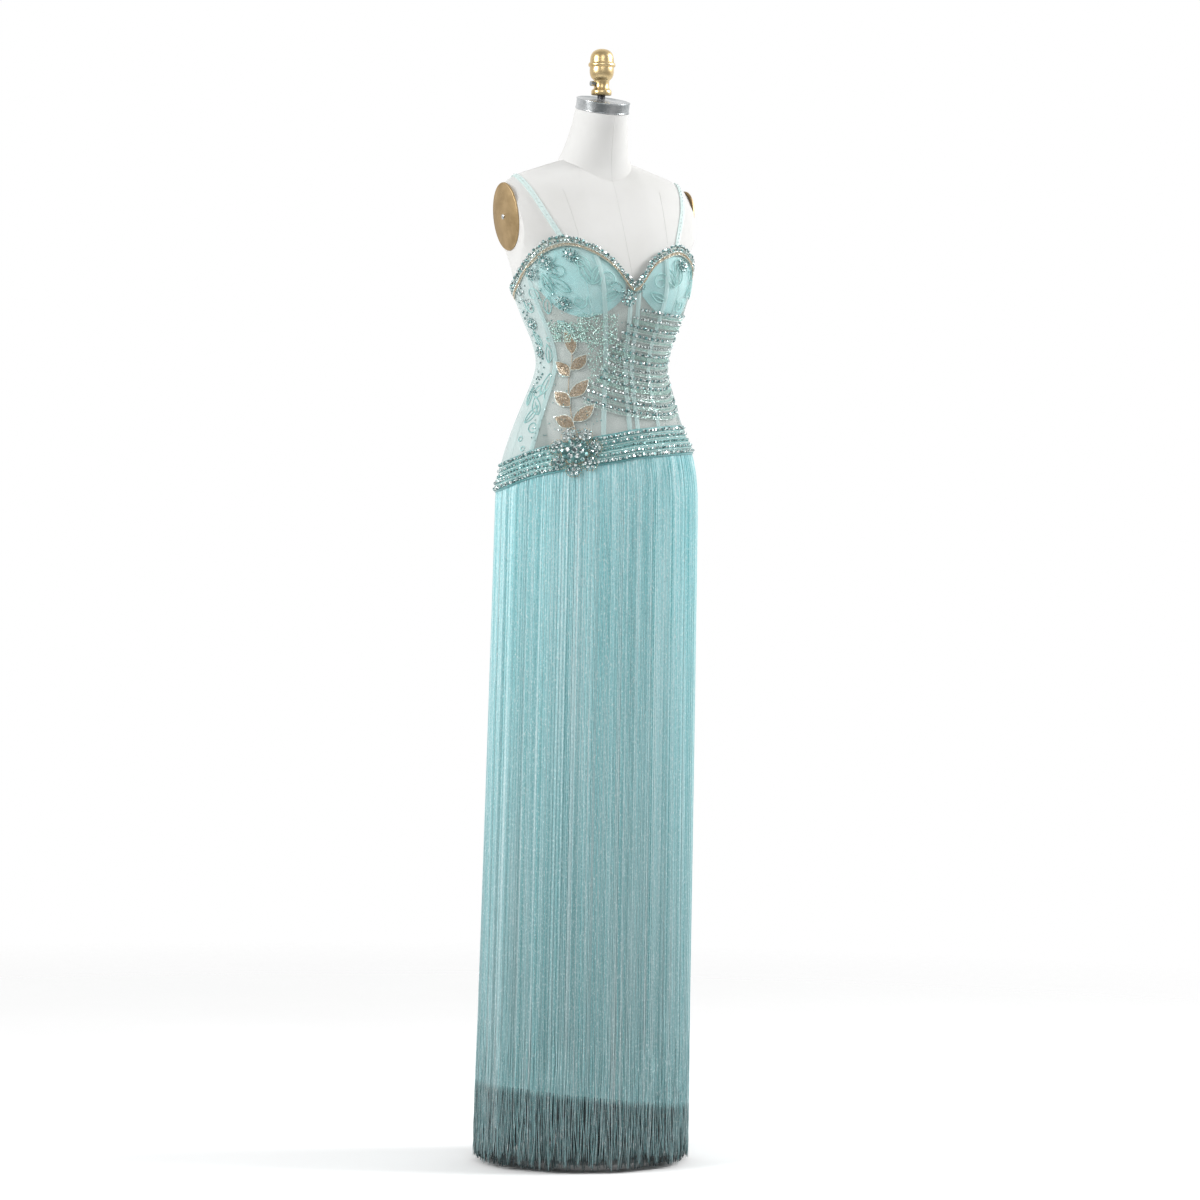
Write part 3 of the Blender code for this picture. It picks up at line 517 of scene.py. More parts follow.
class Look:
    """A material being put together from nodes."""

    def __init__(self, name, **settings):
        self.material = bpy.data.materials.new(name)
        self.material.use_nodes = True
        self.tree = self.material.node_tree
        self.shader = self.tree.nodes["Principled BSDF"]
        for socket, value in settings.items():
            self.set(socket.replace("_", " ").title(), value)

    def feed(self, socket, value):
        if isinstance(value, bpy.types.NodeSocket):
            self.tree.links.new(value, socket)
        else:
            socket.default_value = value

    def set(self, socket, value):
        self.feed(self.shader.inputs[socket], value)

    def add(self, kind, inputs=None, **properties):
        node = self.tree.nodes.new("ShaderNode" + kind)
        for name, value in properties.items():
            setattr(node, name, value)
        for name, value in (inputs or {}).items():
            self.feed(node.inputs[name], value)
        return node.outputs

    def math(self, operation, first, second=0.0, third=0.0):
        return self.add("Math", {0: first, 1: second, 2: third}, operation=operation)[0]

    def coordinates(self, scale=(1, 1, 1)):
        return self.add("Mapping", {"Vector": self.add("TexCoord")["Object"], "Scale": scale})[0]

    def noise(self, vector, scale, detail=2.0, roughness=0.5):
        inputs = {"Vector": vector, "Scale": scale, "Detail": detail, "Roughness": roughness}
        return self.add("TexNoise", inputs)[0]

    def ramp(self, factor, *stops, interpolation="LINEAR"):
        """A colour ramp. Each stop is a place and a colour or a grey."""
        outputs = self.add("ValToRGB", {"Fac": factor})
        ramp = outputs[0].node.color_ramp
        ramp.interpolation = interpolation
        while len(ramp.elements) < len(stops):
            ramp.elements.new(0.5)
        for element, (place, colour) in zip(ramp.elements, stops):
            element.position = place
            grey = isinstance(colour, (int, float))
            element.color = (colour, colour, colour, 1) if grey else (*colour, 1)
        return outputs[0]

    def blend(self, factor, first, second, blend_type="MIX"):
        node = self.add("Mix", data_type="RGBA", blend_type=blend_type)[2].node
        for index, value in ((0, factor), (6, first), (7, second)):
            self.feed(node.inputs[index], (*value, 1) if isinstance(value, tuple) else value)
        return node.outputs[2]

    def bump(self, height, distance, strength=1.0):
        normal = self.add("Bump", {"Height": height, "Distance": distance, "Strength": strength})[0]
        self.set("Normal", normal)

    def weave(self, pitch):
        """Height of a plain weave from the cloth's own measure: threads this far apart each way."""
        turns = 2 * math.pi / pitch
        parts = self.add("SeparateXYZ", {"Vector": self.add("TexCoord")["UV"]})
        warp = self.math("SINE", self.math("MULTIPLY", parts[0], turns))
        weft = self.math("SINE", self.math("MULTIPLY", parts[1], turns))
        return self.math("MULTIPLY", warp, weft)


def make_linen():
    look = Look("linen_cover", roughness=0.92, sheen_weight=0.25, sheen_roughness=0.6)
    blotch = look.noise(look.coordinates(), 9.0, 3.0)
    thread = look.noise(look.coordinates((1, 1, 0.2)), 900.0, 2.0)
    base = look.ramp(blotch, (0.3, (0.64, 0.637, 0.618)), (0.7, (0.70, 0.70, 0.688)))
    look.set("Base Color", look.blend(look.math("MULTIPLY", thread, 0.10), base, (0.58, 0.57, 0.55)))
    look.bump(look.weave(0.0011), 0.00012, 0.6)
    return look.material


def make_net(name, low, high, colour, lined_sheen_colour=None, lined_sheen_cover=0.0):
    """Sheer net: its fine threads hide a share of what is under them, from low to high. Beyond the outer
    bones it can be paler and hide more: partly a second, paler layer, partly painted sheen of the net seen
    edgewise."""
    look = Look(name, roughness=0.55, sheen_weight=0.3, sheen_roughness=0.4)
    tint = look.noise(look.coordinates(), 30.0, 3.0)
    pale = tuple(mix(part, 1.0, 0.25) for part in colour)
    base = look.ramp(tint, (0.35, colour), (0.7, pale))
    mesh = look.math("ABSOLUTE", look.weave(0.0016))
    cover = look.math("MULTIPLY_ADD", mesh, -(high - low), high)
    cover = look.math("ADD", cover, look.math("MULTIPLY", tint, 0.06))
    # Painted sheen beyond the outer bones, with a paler layer there: paler colour and more cover
    if lined_sheen_colour:
        parts = look.add("SeparateXYZ", {"Vector": look.add("TexCoord")["Object"]})
        turn = look.math("ARCTAN2", parts[0], look.math("MULTIPLY", parts[1], -1.0))
        share = look.math("MULTIPLY", look.math("ABSOLUTE", turn), 1 / math.pi)
        lined_and_sheen = look.ramp(share, (0.375, 0.0), (0.395, 1.0))
        base = look.blend(lined_and_sheen, base, lined_sheen_colour)
        cover = look.math("MULTIPLY_ADD", lined_and_sheen, lined_sheen_cover, cover)
    look.set("Base Color", base)
    look.set("Alpha", cover)
    look.bump(mesh, 0.00015, 0.5)
    return look.material


def make_satin(name, dark, light, roughness=0.38):
    look = Look(name, roughness=roughness, sheen_weight=0.35, sheen_roughness=0.35)
    tone = look.noise(look.coordinates((1, 1, 0.5)), 26.0, 3.0)
    look.set("Base Color", look.ramp(tone, (0.32, dark), (0.68, light)))
    fine = look.noise(look.coordinates((1, 1, 0.15)), 1400.0, 2.0)
    height = look.math("MULTIPLY_ADD", fine, 0.5, look.weave(0.0007))
    look.bump(height, 0.00008, 0.5)
    return look.material


def make_bone_tape():
    """Pale tape with a row of stitches along each edge."""
    look = Look("bone_tape", roughness=0.45, sheen_weight=0.3, sheen_roughness=0.4)
    parts = look.add("SeparateXYZ", {"Vector": look.add("TexCoord")["UV"]})
    middle = look.math("ABSOLUTE", look.math("SUBTRACT", parts[0], BONE_WIDTH / 2))
    from_line = look.math("ABSOLUTE", look.math("SUBTRACT", middle, BONE_WIDTH / 2 - 0.0013))
    on_line = look.math("LESS_THAN", from_line, 0.0003)
    dash = look.math("GREATER_THAN", look.math("SINE", look.math("MULTIPLY", parts[1], 2400.0)), -0.3)
    stitch = look.math("MULTIPLY", on_line, dash)
    tone = look.noise(look.coordinates((1, 1, 0.3)), 60.0, 2.0)
    base = look.ramp(tone, (0.3, (0.52, 0.73, 0.72)), (0.7, (0.63, 0.82, 0.81)))
    look.set("Base Color", look.blend(look.math("MULTIPLY", stitch, 0.6), base, (0.42, 0.66, 0.66)))
    look.set("Alpha", look.math("MULTIPLY_ADD", stitch, 0.25, 0.40))
    look.bump(look.math("MULTIPLY_ADD", stitch, -0.6, look.weave(0.0006)), 0.00012, 0.6)
    return look.material


def make_stones(name, *stops, roughness=0.06):
    """Cut glass: each facet of each stone gets its own colour from the ramp, as painted reflections and
    highlights of what it would catch.
    """
    look = Look(name, metallic=0.35, roughness=roughness, coat_weight=0.5, coat_roughness=0.03)
    about = look.add("NewGeometry")
    turned = look.math("MULTIPLY", about["Random Per Island"], 37.0)
    seed = look.add("VectorMath", {0: about["True Normal"], 1: turned}, operation="ADD")[0]
    # Painted reflections: a random shade for each facet
    facet_reflection = look.add("TexWhiteNoise", {"Vector": seed}, noise_dimensions="3D")["Value"]
    base = look.ramp(facet_reflection, *stops, interpolation="CONSTANT")
    cloud = look.noise(look.coordinates(), 700.0, 1.0)
    look.set("Base Color", look.blend(look.math("MULTIPLY", cloud, 0.18), base, (0.80, 0.90, 0.90)))
    look.bump(cloud, 0.00005, 0.3)
    return look.material


def make_fringe(name, painted_shade_below_hem, *tones):
    """Glassy threads: long tonal streaks that differ from strand to strand, with painted glints and specks of
    painted shade. Painted shade darkens them downwards, and further below the hem where no underskirt is
    behind them."""
    look = Look(name, roughness=0.32, sheen_weight=0.45, sheen_roughness=0.45)
    look.set("Specular IOR Level", 0.6)
    strand = look.add("NewGeometry")["Random Per Island"]
    streak = look.noise(look.coordinates((1, 1, 0.012)), 150.0, 2.0, 0.6)
    broad = look.noise(look.coordinates((1, 1, 0.05)), 26.0, 2.0, 0.5)
    glint = look.noise(look.coordinates((1, 1, 0.55)), 420.0, 2.0, 0.65)
    tone = look.math("MULTIPLY_ADD", strand, 0.30, look.math("MULTIPLY", streak, 0.55))
    tone = look.math("MULTIPLY_ADD", broad, 0.30, tone)
    base = look.ramp(tone, *tones)
    parts = look.add("SeparateXYZ", {"Vector": look.add("TexCoord")["Object"]})
    tilt = SKIRT_HEM_TILT / FLOOR_RING[0]
    high = look.math("MULTIPLY_ADD", parts[0], tilt, parts[2])
    # Painted shade: darker towards the strands' feet, darkest below the underskirt's hem
    foot = look.ramp(
        high, (SKIRT_HEM - 0.010, painted_shade_below_hem), (SKIRT_HEM, 0.60), (0.30, 0.67), (0.65, 0.86), (1.0, 1.0)
    )
    base = look.blend(1.0, base, foot, "MULTIPLY")
    # Painted glints: bright specks in the colour, and specks of painted shade between them
    sparkle = look.ramp(glint, (0.56, 0.0), (0.66, 0.75))
    shade = look.ramp(glint, (0.32, 0.40), (0.44, 0.0))
    lit = look.blend(look.blend(1.0, sparkle, foot, "MULTIPLY"), base, (0.90, 0.96, 0.96))
    look.set("Base Color", look.blend(shade, lit, (0.16, 0.34, 0.37)))
    look.bump(glint, 0.0006, 0.7)
    return look.material


def make_metal(name, dark, light, roughness, stretch):
    """Brushed metal with duller patches."""
    look = Look(name, metallic=1.0)
    brushed = look.noise(look.coordinates(stretch), 260.0, 3.0, 0.65)
    patch = look.noise(look.coordinates(), 34.0, 4.0)
    tone = look.math("MULTIPLY_ADD", brushed, 0.4, look.math("MULTIPLY", patch, 0.6))
    look.set("Base Color", look.ramp(tone, (0.36, dark), (0.62, light)))
    wear = 0.2
    dull = look.math("MULTIPLY_ADD", patch, wear, roughness - wear / 2)
    look.set("Roughness", look.math("MULTIPLY_ADD", brushed, 0.10, dull))
    look.bump(brushed, 0.00006, 0.4)
    return look.material


def make_floor():
    """A pale floor that fades into the white backdrop away from the form."""
    look = Look("studio_floor", roughness=0.9)
    grain = look.noise(look.coordinates(), 3.0, 2.0)
    look.set("Base Color", look.ramp(grain, (0.3, 0.90), (0.7, 0.92)))
    away = look.add("VectorMath", {0: look.add("TexCoord")["Object"]}, operation="LENGTH")["Value"]
    look.set("Alpha", look.ramp(look.math("MULTIPLY", away, 0.1), (0.10, 1.0), (0.36, 0.0)))
    return look.material


LOOKS = {
    "linen": make_linen(),
    "net": make_net("sheer_net", 0.10, 0.28, (0.40, 0.51, 0.48), (0.66, 0.79, 0.78), 0.26),
    "satin": make_satin("aqua_satin", (0.36, 0.65, 0.66), (0.48, 0.77, 0.78)),
    "cup": make_satin("cup_satin", (0.42, 0.86, 0.90), (0.58, 0.94, 0.96)),
    "band": make_satin("belt_satin", (0.15, 0.36, 0.36), (0.24, 0.47, 0.46)),
    "piping": make_satin("teal_piping", (0.08, 0.26, 0.27), (0.15, 0.37, 0.38), 0.30),
    "trim": make_satin("trim_backing", (0.38, 0.45, 0.40), (0.48, 0.55, 0.50)),
    "cord": make_satin("lace_cord", (0.20, 0.42, 0.41), (0.38, 0.63, 0.61), 0.42),
    "strap": make_net("strap_net", 0.30, 0.55, (0.72, 0.89, 0.87)),
    "bone": make_bone_tape(),
    "fringe": make_fringe(
        "fringe_strands",
        0.42,
        (0.26, (0.20, 0.52, 0.55)),
        (0.46, (0.33, 0.70, 0.73)),
        (0.66, (0.54, 0.84, 0.87)),
        (0.88, (0.90, 0.98, 0.99)),
    ),
    # Inner strands: the outer ones' look painted darker as shade behind them, near black below the hem
    "inner_fringe": make_fringe(
        "inner_strands",
        0.03,
        (0.26, (0.15, 0.44, 0.46)),
        (0.50, (0.31, 0.66, 0.68)),
        (0.88, (0.64, 0.89, 0.91)),
    ),
    # Painted shade: near-black strands behind the fringe's feet, for the shadow inside it
    "dark_fringe": make_satin("painted_shade_strands", (0.012, 0.028, 0.030), (0.045, 0.080, 0.085), 0.7),
    # Stones and seeds: the middle stops are the glass's own tone, the darkest and lightest are painted
    # reflections and highlights, one to each facet
    "teal_stones": make_stones(
        "teal_stones",
        (0.00, (0.010, 0.060, 0.066)),
        (0.34, (0.050, 0.230, 0.235)),
        (0.60, (0.160, 0.440, 0.430)),
        (0.82, (0.750, 0.920, 0.900)),
    ),
    "clear_stones": make_stones(
        "clear_stones",
        (0.00, (0.015, 0.040, 0.045)),
        (0.26, (0.110, 0.200, 0.200)),
        (0.42, (0.460, 0.600, 0.590)),
        (0.66, (0.960, 0.990, 0.980)),
    ),
    "gold_seeds": make_stones(
        "gold_seeds",
        (0.00, (0.200, 0.120, 0.055)),
        (0.28, (0.480, 0.330, 0.180)),
        (0.60, (0.740, 0.560, 0.360)),
        (0.84, (0.960, 0.880, 0.720)),
        roughness=0.25,
    ),
    "mint_seeds": make_stones(
        "mint_seeds",
        (0.00, (0.160, 0.370, 0.310)),
        (0.30, (0.400, 0.660, 0.590)),
        (0.60, (0.600, 0.850, 0.780)),
        (0.84, (0.900, 1.000, 0.960)),
        roughness=0.22,
    ),
    "silver_seeds": make_stones(
        "silver_seeds",
        (0.00, (0.320, 0.460, 0.440)),
        (0.22, (0.600, 0.760, 0.730)),
        (0.52, (0.800, 0.930, 0.900)),
        (0.78, (0.970, 1.000, 0.980)),
        roughness=0.22,
    ),
    "steel": make_metal("brushed_steel", (0.26, 0.29, 0.30), (0.66, 0.68, 0.69), 0.22, (1, 1, 14)),
    "brass": make_metal("worn_brass", (0.56, 0.39, 0.17), (0.83, 0.66, 0.37), 0.28, (1, 1, 8)),
    "tan": make_metal("plate_bronze", (0.36, 0.25, 0.12), (0.52, 0.38, 0.21), 0.45, (1, 6, 1)),
    "enamel": make_satin("white_enamel", (0.70, 0.71, 0.71), (0.80, 0.80, 0.80), 0.30),
    "iron": make_metal("dark_iron", (0.04, 0.04, 0.045), (0.09, 0.09, 0.095), 0.42, (1, 1, 5)),
}


def add_mesh(name, verts, faces, looks, slot, replaced=(), face_looks=None, flat=False, uvs=None):
    mesh = bpy.data.meshes.new(name)
    mesh.from_pydata(np.asarray(verts).reshape(-1, 3).tolist(), [], faces)
    for look in [looks] if isinstance(looks, str) else looks:
        mesh.materials.append(LOOKS[look])
    if face_looks is not None:
        mesh.polygons.foreach_set("material_index", np.asarray(face_looks, np.int32))
    if uvs is not None:
        layer = mesh.uv_layers.new(name="cloth")
        corners = np.empty(len(mesh.loops), np.int32)
        mesh.loops.foreach_get("vertex_index", corners)
        layer.data.foreach_set("uv", np.asarray(uvs, np.float32)[corners].ravel())
    if flat:
        mesh.shade_flat()
    else:
        mesh.shade_smooth()
        mesh.set_sharp_from_angle(angle=math.radians(50))
    obj = bpy.data.objects.new(name, mesh)
    bpy.context.scene.collection.objects.link(obj)
    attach(obj, "root")
    if replaced:
        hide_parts(*replaced)
    return obj


def grid_lengths(points, axis):
    """Length along the grid's lines, from 0 at its first edge."""
    steps = np.linalg.norm(np.diff(points, axis=axis), axis=-1)
    return np.insert(np.cumsum(steps, axis=axis), 0, 0, axis=axis)


def quads_between(first, second, closed=False):
    """Faces between two matching lines of vertex numbers."""
    after = np.roll(first, -1, axis=-1), np.roll(second, -1, axis=-1)
    faces = np.stack([first, after[0], after[1], second], -1)
    return faces if closed else faces[..., :-1, :]


def add_shell(name, inner, outer, look, slot, replaced, closed=False):
    """A thin shell between two grids of points, a sheet of cloth. A closed one runs right
    round the body."""
    count = inner.shape[0] * inner.shape[1]
    outside = np.arange(count).reshape(inner.shape[:2])
    inside = outside + count
    faces = [
        quads_between(outside[:-1], outside[1:], closed).reshape(-1, 4),
        quads_between(inside[:-1], inside[1:], closed).reshape(-1, 4)[:, ::-1],
        quads_between(inside[0], outside[0], closed),
        quads_between(outside[-1], inside[-1], closed),
    ]
    if not closed:
        faces.append(quads_between(outside[:, 0], inside[:, 0]))
        faces.append(quads_between(inside[:, -1], outside[:, -1]))
    across, upward = grid_lengths(outer, 1), grid_lengths(outer, 0)
    uvs = np.stack([across, upward], -1).reshape(-1, 2)
    verts = np.concatenate([outer.reshape(-1, 3), inner.reshape(-1, 3)])
    faces = np.concatenate(faces).tolist()
    obj = add_mesh(name, verts, faces, look, slot, replaced, uvs=np.concatenate([uvs, uvs]))
    length = float(upward[-1].max())
    if closed:
        width = float(across[:, -1].max() + np.linalg.norm(outer[0, 0] - outer[0, -1]))
        return
    diagonals = outer[1:, 1:] - outer[:-1, :-1], outer[1:, :-1] - outer[:-1, 1:]
    area = np.linalg.norm(np.cross(*diagonals), axis=-1).sum() / 2
    width = max(TAPE_CUT, float(across[:, -1].max()))
    area = float(min(area, width * length))


def add_layer(name, angle, height, offset, thickness, look, slot, replaced):
    """A layer of the gown over a grid of angles and heights."""
    angle, height = np.broadcast_arrays(angle, height)
    inner = cloth(angle, height, offset)
    outer = cloth(angle, height, offset + thickness)
    add_shell(name, inner, outer, look, slot, replaced)


def span(start, end, step):
    """Even steps from start to end, as close to this step as fits."""
    return np.linspace(start, end, max(2, round(abs(end - start) / step) + 1))


def add_bodice():
    seams = (
        ("net_back_right", "bodice_back_right", -180, -SIDE_SEAM),
        ("net_side_right", "bodice_side_right", -SIDE_SEAM, -PRINCESS_SEAM),
        ("net_front", "bodice_front", -PRINCESS_SEAM, PRINCESS_SEAM),
        ("net_side_left", "bodice_side_left", PRINCESS_SEAM, SIDE_SEAM),
        ("net_back_left", "bodice_back_left", SIDE_SEAM, 180),
    )
    share = np.linspace(0, 1, 61)[:, None]
    half_gap = math.degrees(SEAM_GAP / 2 / 0.12)
    for name, node, start, end in seams:
        angle = span(start + half_gap, end - half_gap, 1.5)[None, :]
        bottom = belt_bottom(angle) + WAIST_SEAM_RISE + SEAM_GAP / 2
        height = mix(bottom, neckline(angle), share)
        add_layer(name, angle, height, PANEL_OFFSET, PANEL_THICK, "net", "net", [node])


def add_cups():
    for side, name in ((-1, "right"), (1, "left")):
        start, end = sorted((side * CUP_LINE[0][0], side * CUP_LINE[-1][0]))
        angle = span(start, end, 1.0)[None, :]
        top = neckline(angle) - CUP_BELOW_NECKLINE
        height = mix(cup_foot(angle), top, np.linspace(0, 1, 41)[:, None])
        add_layer(f"satin_cup_{name}", angle, height, CUP_OFFSET, CUP_THICK, "cup", "satin", [f"cup_{name}"])


def add_bones():
    """Boning channels sewn on the bodice: flat tape with a bone raised under it."""
    across, lift = np.array(BONE_PROFILE).T[:, None, :]
    for count, middle in enumerate(BONE_ANGLES, 1):
        low = float(belt_bottom(middle)) + BELT_HEIGHT + BONE_END_GAP
        high = float(neckline(middle)) - TRIM_DEPTH - BONE_END_GAP
        height = span(low, high, 0.004)[:, None]
        angle = near(middle, height, across * BONE_WIDTH, 0)[0]
        height = np.broadcast_to(height, angle.shape)
        inner = cloth(angle, height, BONE_TAPE_UNDER)
        outer = cloth(angle, height, BONE_TAPE_TOP + lift * BONE_RISE)
        name, node = f"boning_{count:02d}", f"bone_{count:02d}"
        add_shell(name, inner, outer, "bone", "satin", [node])


def scallop(angle):
    """Rise of the neckline's scallops."""
    return SCALLOP_BASE + SCALLOP_RISE * np.abs(np.sin(np.radians(angle) * SCALLOPS))


def add_trim_bands():
    pieces = (
        ("edging_right", "neckline_trim_right", -SIDE_SEAM, 0),
        ("edging_left", "neckline_trim_left", 0, SIDE_SEAM),
        ("edging_back_left", "back_trim_left", SIDE_SEAM, 180),
        ("edging_back_right", "back_trim_right", -180, -SIDE_SEAM),
    )
    for name, node, start, end in pieces:
        angle = span(start + TRIM_END_GAP, end - TRIM_END_GAP, 0.75)[None, :]
        top = neckline(angle) + scallop(angle)
        foot = neckline(angle) - TRIM_DEPTH
        height = mix(foot, top, np.linspace(0, 1, 9)[:, None])
        add_layer(name, angle, height, TRIM_OFFSET, TRIM_THICK, "trim", "beads", [node])


def add_belt():
    halves = (
        ("hip_belt_front", "belt_front", -SIDE_SEAM, SIDE_SEAM),
        ("hip_belt_back", "belt_back", SIDE_SEAM, 360 - SIDE_SEAM),
    )
    share = np.linspace(0, 1, 17)[:, None]
    for name, node, start, end in halves:
        angle = span(start + TRIM_END_GAP, end - TRIM_END_GAP, 1.5)[None, :]
        height = belt_bottom(angle) + share * BELT_HEIGHT
        add_layer(name, angle, height, belt_offset(share), BELT_THICK, "band", "satin", [node])


def add_underskirt():
    halves = (
        ("satin_skirt_front", "skirt_front", -SIDE_SEAM, SIDE_SEAM),
        ("satin_skirt_back", "skirt_back", SIDE_SEAM, 360 - SIDE_SEAM),
    )
    share = np.linspace(0, 1, 91)[:, None]
    for name, node, start, end in halves:
        angle = span(start + SKIRT_END_GAP, end - SKIRT_END_GAP, 1.5)[None, :]
        top = belt_bottom(angle) + WAIST_SEAM_RISE - SEAM_GAP / 2
        height = mix(skirt_hem(angle), top, share)
        add_layer(name, angle, height, PANEL_OFFSET, PANEL_THICK, "satin", "satin", [node])


def tube_mesh(points, first_side, second_side, radius, sides, spin=0.0, closed=False):
    """Rings round each line of points: returns vertices and faces. Lines run along the second axis."""
    turn = 2 * math.pi * np.arange(sides) / sides
    turn = (turn + np.asarray(spin).reshape(-1, 1, 1))[..., None]
    ring = np.cos(turn) * first_side[..., None, :] + np.sin(turn) * second_side[..., None, :]
    verts = points[..., None, :] + ring * np.broadcast_to(radius, points.shape[:2])[..., None, None]
    lines, length = points.shape[:2]
    index = np.arange(lines * length * sides).reshape(lines, length, sides)
    if closed:
        index = np.concatenate([index, index[:, :1]], 1)
    faces = quads_between(index[:, :-1], index[:, 1:], closed=True).reshape(-1, 4)[:, ::-1].tolist()
    if not closed:
        faces += np.concatenate([index[:, 0, ::-1], index[:, -1]])[:, ::-1].tolist()
    return verts.reshape(-1, 3), faces


def cord_mesh(points, outward, radius, sides, closed=False):
    """A cord along one line of points, from the directions out of the surface it lies on."""
    way = np.roll(points, -1, 0) - np.roll(points, 1, 0) if closed else np.gradient(points, axis=0)
    beside = unit(np.cross(outward, unit(way)))
    return tube_mesh(points[None], beside[None], outward[None], radius, sides, closed=closed)


def joined(parts):
    """The vertices and faces of several meshes as one mesh's."""
    faces, start = [], 0
    for verts, part_faces in parts:
        faces += [[corner + start for corner in face] for face in part_faces]
        start += len(verts)
    return np.concatenate([verts for verts, _ in parts]), faces


def strand_lines(count, levels, offset, lowest, spread, sway, phase):
    """Angles, heights and offsets of hanging strands that gather into bundles, then into pointed tufts."""
    middle = (np.arange(count) + phase) * 360 / count - 180
    middle = middle + rng.uniform(-0.2, 0.2, count) * 360 / count
    turn = np.radians(middle)
    tuft = turn * TUFTS + 1.6 * np.sin(turn * 7) + 1.1 * np.sin(turn * 17 + 2)
    bundle = turn * BUNDLES + 1.4 * np.sin(turn * 31) + 0.9 * np.sin(turn * 53 + 1)
    top = belt_bottom(middle) + STRAND_TUCK
    short = 0.55 * np.abs(np.sin(tuft / 2)) * rng.uniform(0.75, 1.0, count)
    uneven = 0.20 * (0.5 + 0.5 * np.sin(turn * 9)) + 0.25 * rng.random(count) ** 2
    end = lowest + spread * (short + uneven)
    even = np.linspace(0, 1, levels)
    share = mix(even, 0.5 - 0.5 * np.cos(math.pi * even), 0.8)
    height = mix(top[:, None], end[:, None], share[None, :])
    loose = ease(0.32, 0.02, height)
    waves = rng.uniform(0, 2 * math.pi, (count, 2, 1))
    steps = rng.uniform(18, 60, (count, 2, 1))
    aside = sway * loose * np.sin(height * steps[:, 0] + waves[:, 0])
    out = sway * 0.7 * loose * np.sin(height * steps[:, 1] + waves[:, 1])
    gather = -TUFT_GATHER * ease(0.070, 0.004, height) * np.sin(tuft)[:, None]
    gather = gather - BUNDLE_GATHER * (0.25 + 0.75 * ease(0.30, 0.10, height)) * np.sin(bundle)[:, None]
    angle = near(middle[:, None], height, aside + gather, 0)[0]
    return angle, height, offset + out


def add_strands(name, angle, height, offset, radius, look):
    """Three-cornered strands: one to a row of the grid."""
    points = cloth(angle, height, offset)
    points[..., 2] = np.maximum(points[..., 2], STRAND_FLOOR)
    across, _, outward = figure_axes(angle, height)
    spin = rng.uniform(0, 2 * math.pi, len(points))
    verts, faces = tube_mesh(points, across, outward, radius, 3, spin)
    add_mesh(name, verts, faces, look, "fringe", ["fringe"])


def add_fringe():
    """Two layers of strands from a tape under the belt, and a short layer of dark strands behind their feet
    as painted shade.
    """
    layers = (
        # name, look, strands, levels, offset, lowest end, spread of the ends, sway, radius, phase
        ("fringe_outer", "fringe", 1060, 24, 0.0072, 0.002, 0.034, 0.0018, 0.00060, 0.0),
        ("fringe_inner", "inner_fringe", 1060, 16, 0.0058, 0.002, 0.030, 0.0020, 0.00085, 0.5),
    )
    for name, look, count, levels, offset, lowest, spread, sway, radius, phase in layers:
        angle, height, offsets = strand_lines(count, levels, offset, lowest, spread, sway, phase)
        offsets = offsets + np.array(STRAND_STAGGER)[np.arange(count) % 2][:, None]
        offsets = np.maximum(offsets, PANEL_OFFSET + PANEL_THICK + STRAND_GAP)
        taper = np.linspace(1, 0, levels) ** 0.15 * radius
        taper[-1] = radius * 0.3
        add_strands(name, angle, height, offsets, taper[None, :], look)
    add_painted_shade_strands()
    angle = span(-180, 180, 1.5)[None, :-1]
    share = np.linspace(0, 1, 5)[:, None]
    height = belt_bottom(angle) - TAPE_DROP + share * (TAPE_DROP + TAPE_RISE)
    inner = cloth(angle, height, ON_PANEL_OFFSET)
    outer = cloth(angle, height, ON_PANEL_OFFSET + TAPE_THICK)
    add_shell("fringe_tape", inner, outer, "band", "fringe", ["fringe"], closed=True)


def add_painted_shade_strands():
    """Short dark strands from the underskirt's hem, behind the long ones: painted shade in the gaps below the
    hem.
    """
    count, levels, radius = 1300, 6, 0.00075
    middle = (np.arange(count) + rng.uniform(-0.3, 0.3, count)) * 360 / count - 180
    top = skirt_hem(middle) + SHADE_STRAND_TUCK
    end = SHADE_STRAND_END + SHADE_STRAND_SPREAD * rng.random(count)
    height = mix(top[:, None], end[:, None], np.linspace(0, 1, levels)[None, :])
    sway = 0.0012 * ease(0.10, 0.01, height) * np.sin(height * 40 + rng.uniform(0, 6.28, (count, 1)))
    angle = near(middle[:, None], height, sway, 0)[0]
    offset = PANEL_OFFSET - 0.0012 + rng.uniform(-0.0006, 0.0004, (count, 1))
    add_strands("fringe_painted_shade", angle, height, offset, radius, "dark_fringe")


# Bead shapes at unit radius: rings of (radius, height, turn in shares of a side), from the foot up
CUT_STONE = ((0.82, -0.15, 0.0), (1.00, 0.30, 0.5), (0.62, 0.82, 0.0))
SEED = ((0.55, -0.80, 0.0), (1.00, 0.00, 0.5), (0.55, 0.80, 0.0))


def bead_shape(rings, sides):
    verts = []
    for radius, height, turned in rings:
        turn = 2 * math.pi * (np.arange(sides) + turned) / sides
        verts.append(np.stack([radius * np.cos(turn), radius * np.sin(turn), 0 * turn + height], -1))
    faces = []
    for level in range(len(rings) - 1):
        below = np.arange(sides) + level * sides
        above = below + sides
        leading = rings[level + 1][2] > rings[level][2]
        after = np.roll(below, -1), np.roll(above, -1)
        if leading:
            faces += np.stack([below, after[0], above], -1).tolist()
            faces += np.stack([after[0], after[1], above], -1).tolist()
        else:
            faces += np.stack([below, after[1], above], -1).tolist()
            faces += np.stack([below, after[0], after[1]], -1).tolist()
    foot, top = np.arange(sides)[::-1], np.arange(sides) + (len(rings) - 1) * sides
    return np.concatenate(verts), faces + [foot.tolist(), top.tolist()]


SHAPES = {"stone": bead_shape(CUT_STONE, 6), "seed": bead_shape(SEED, 5)}


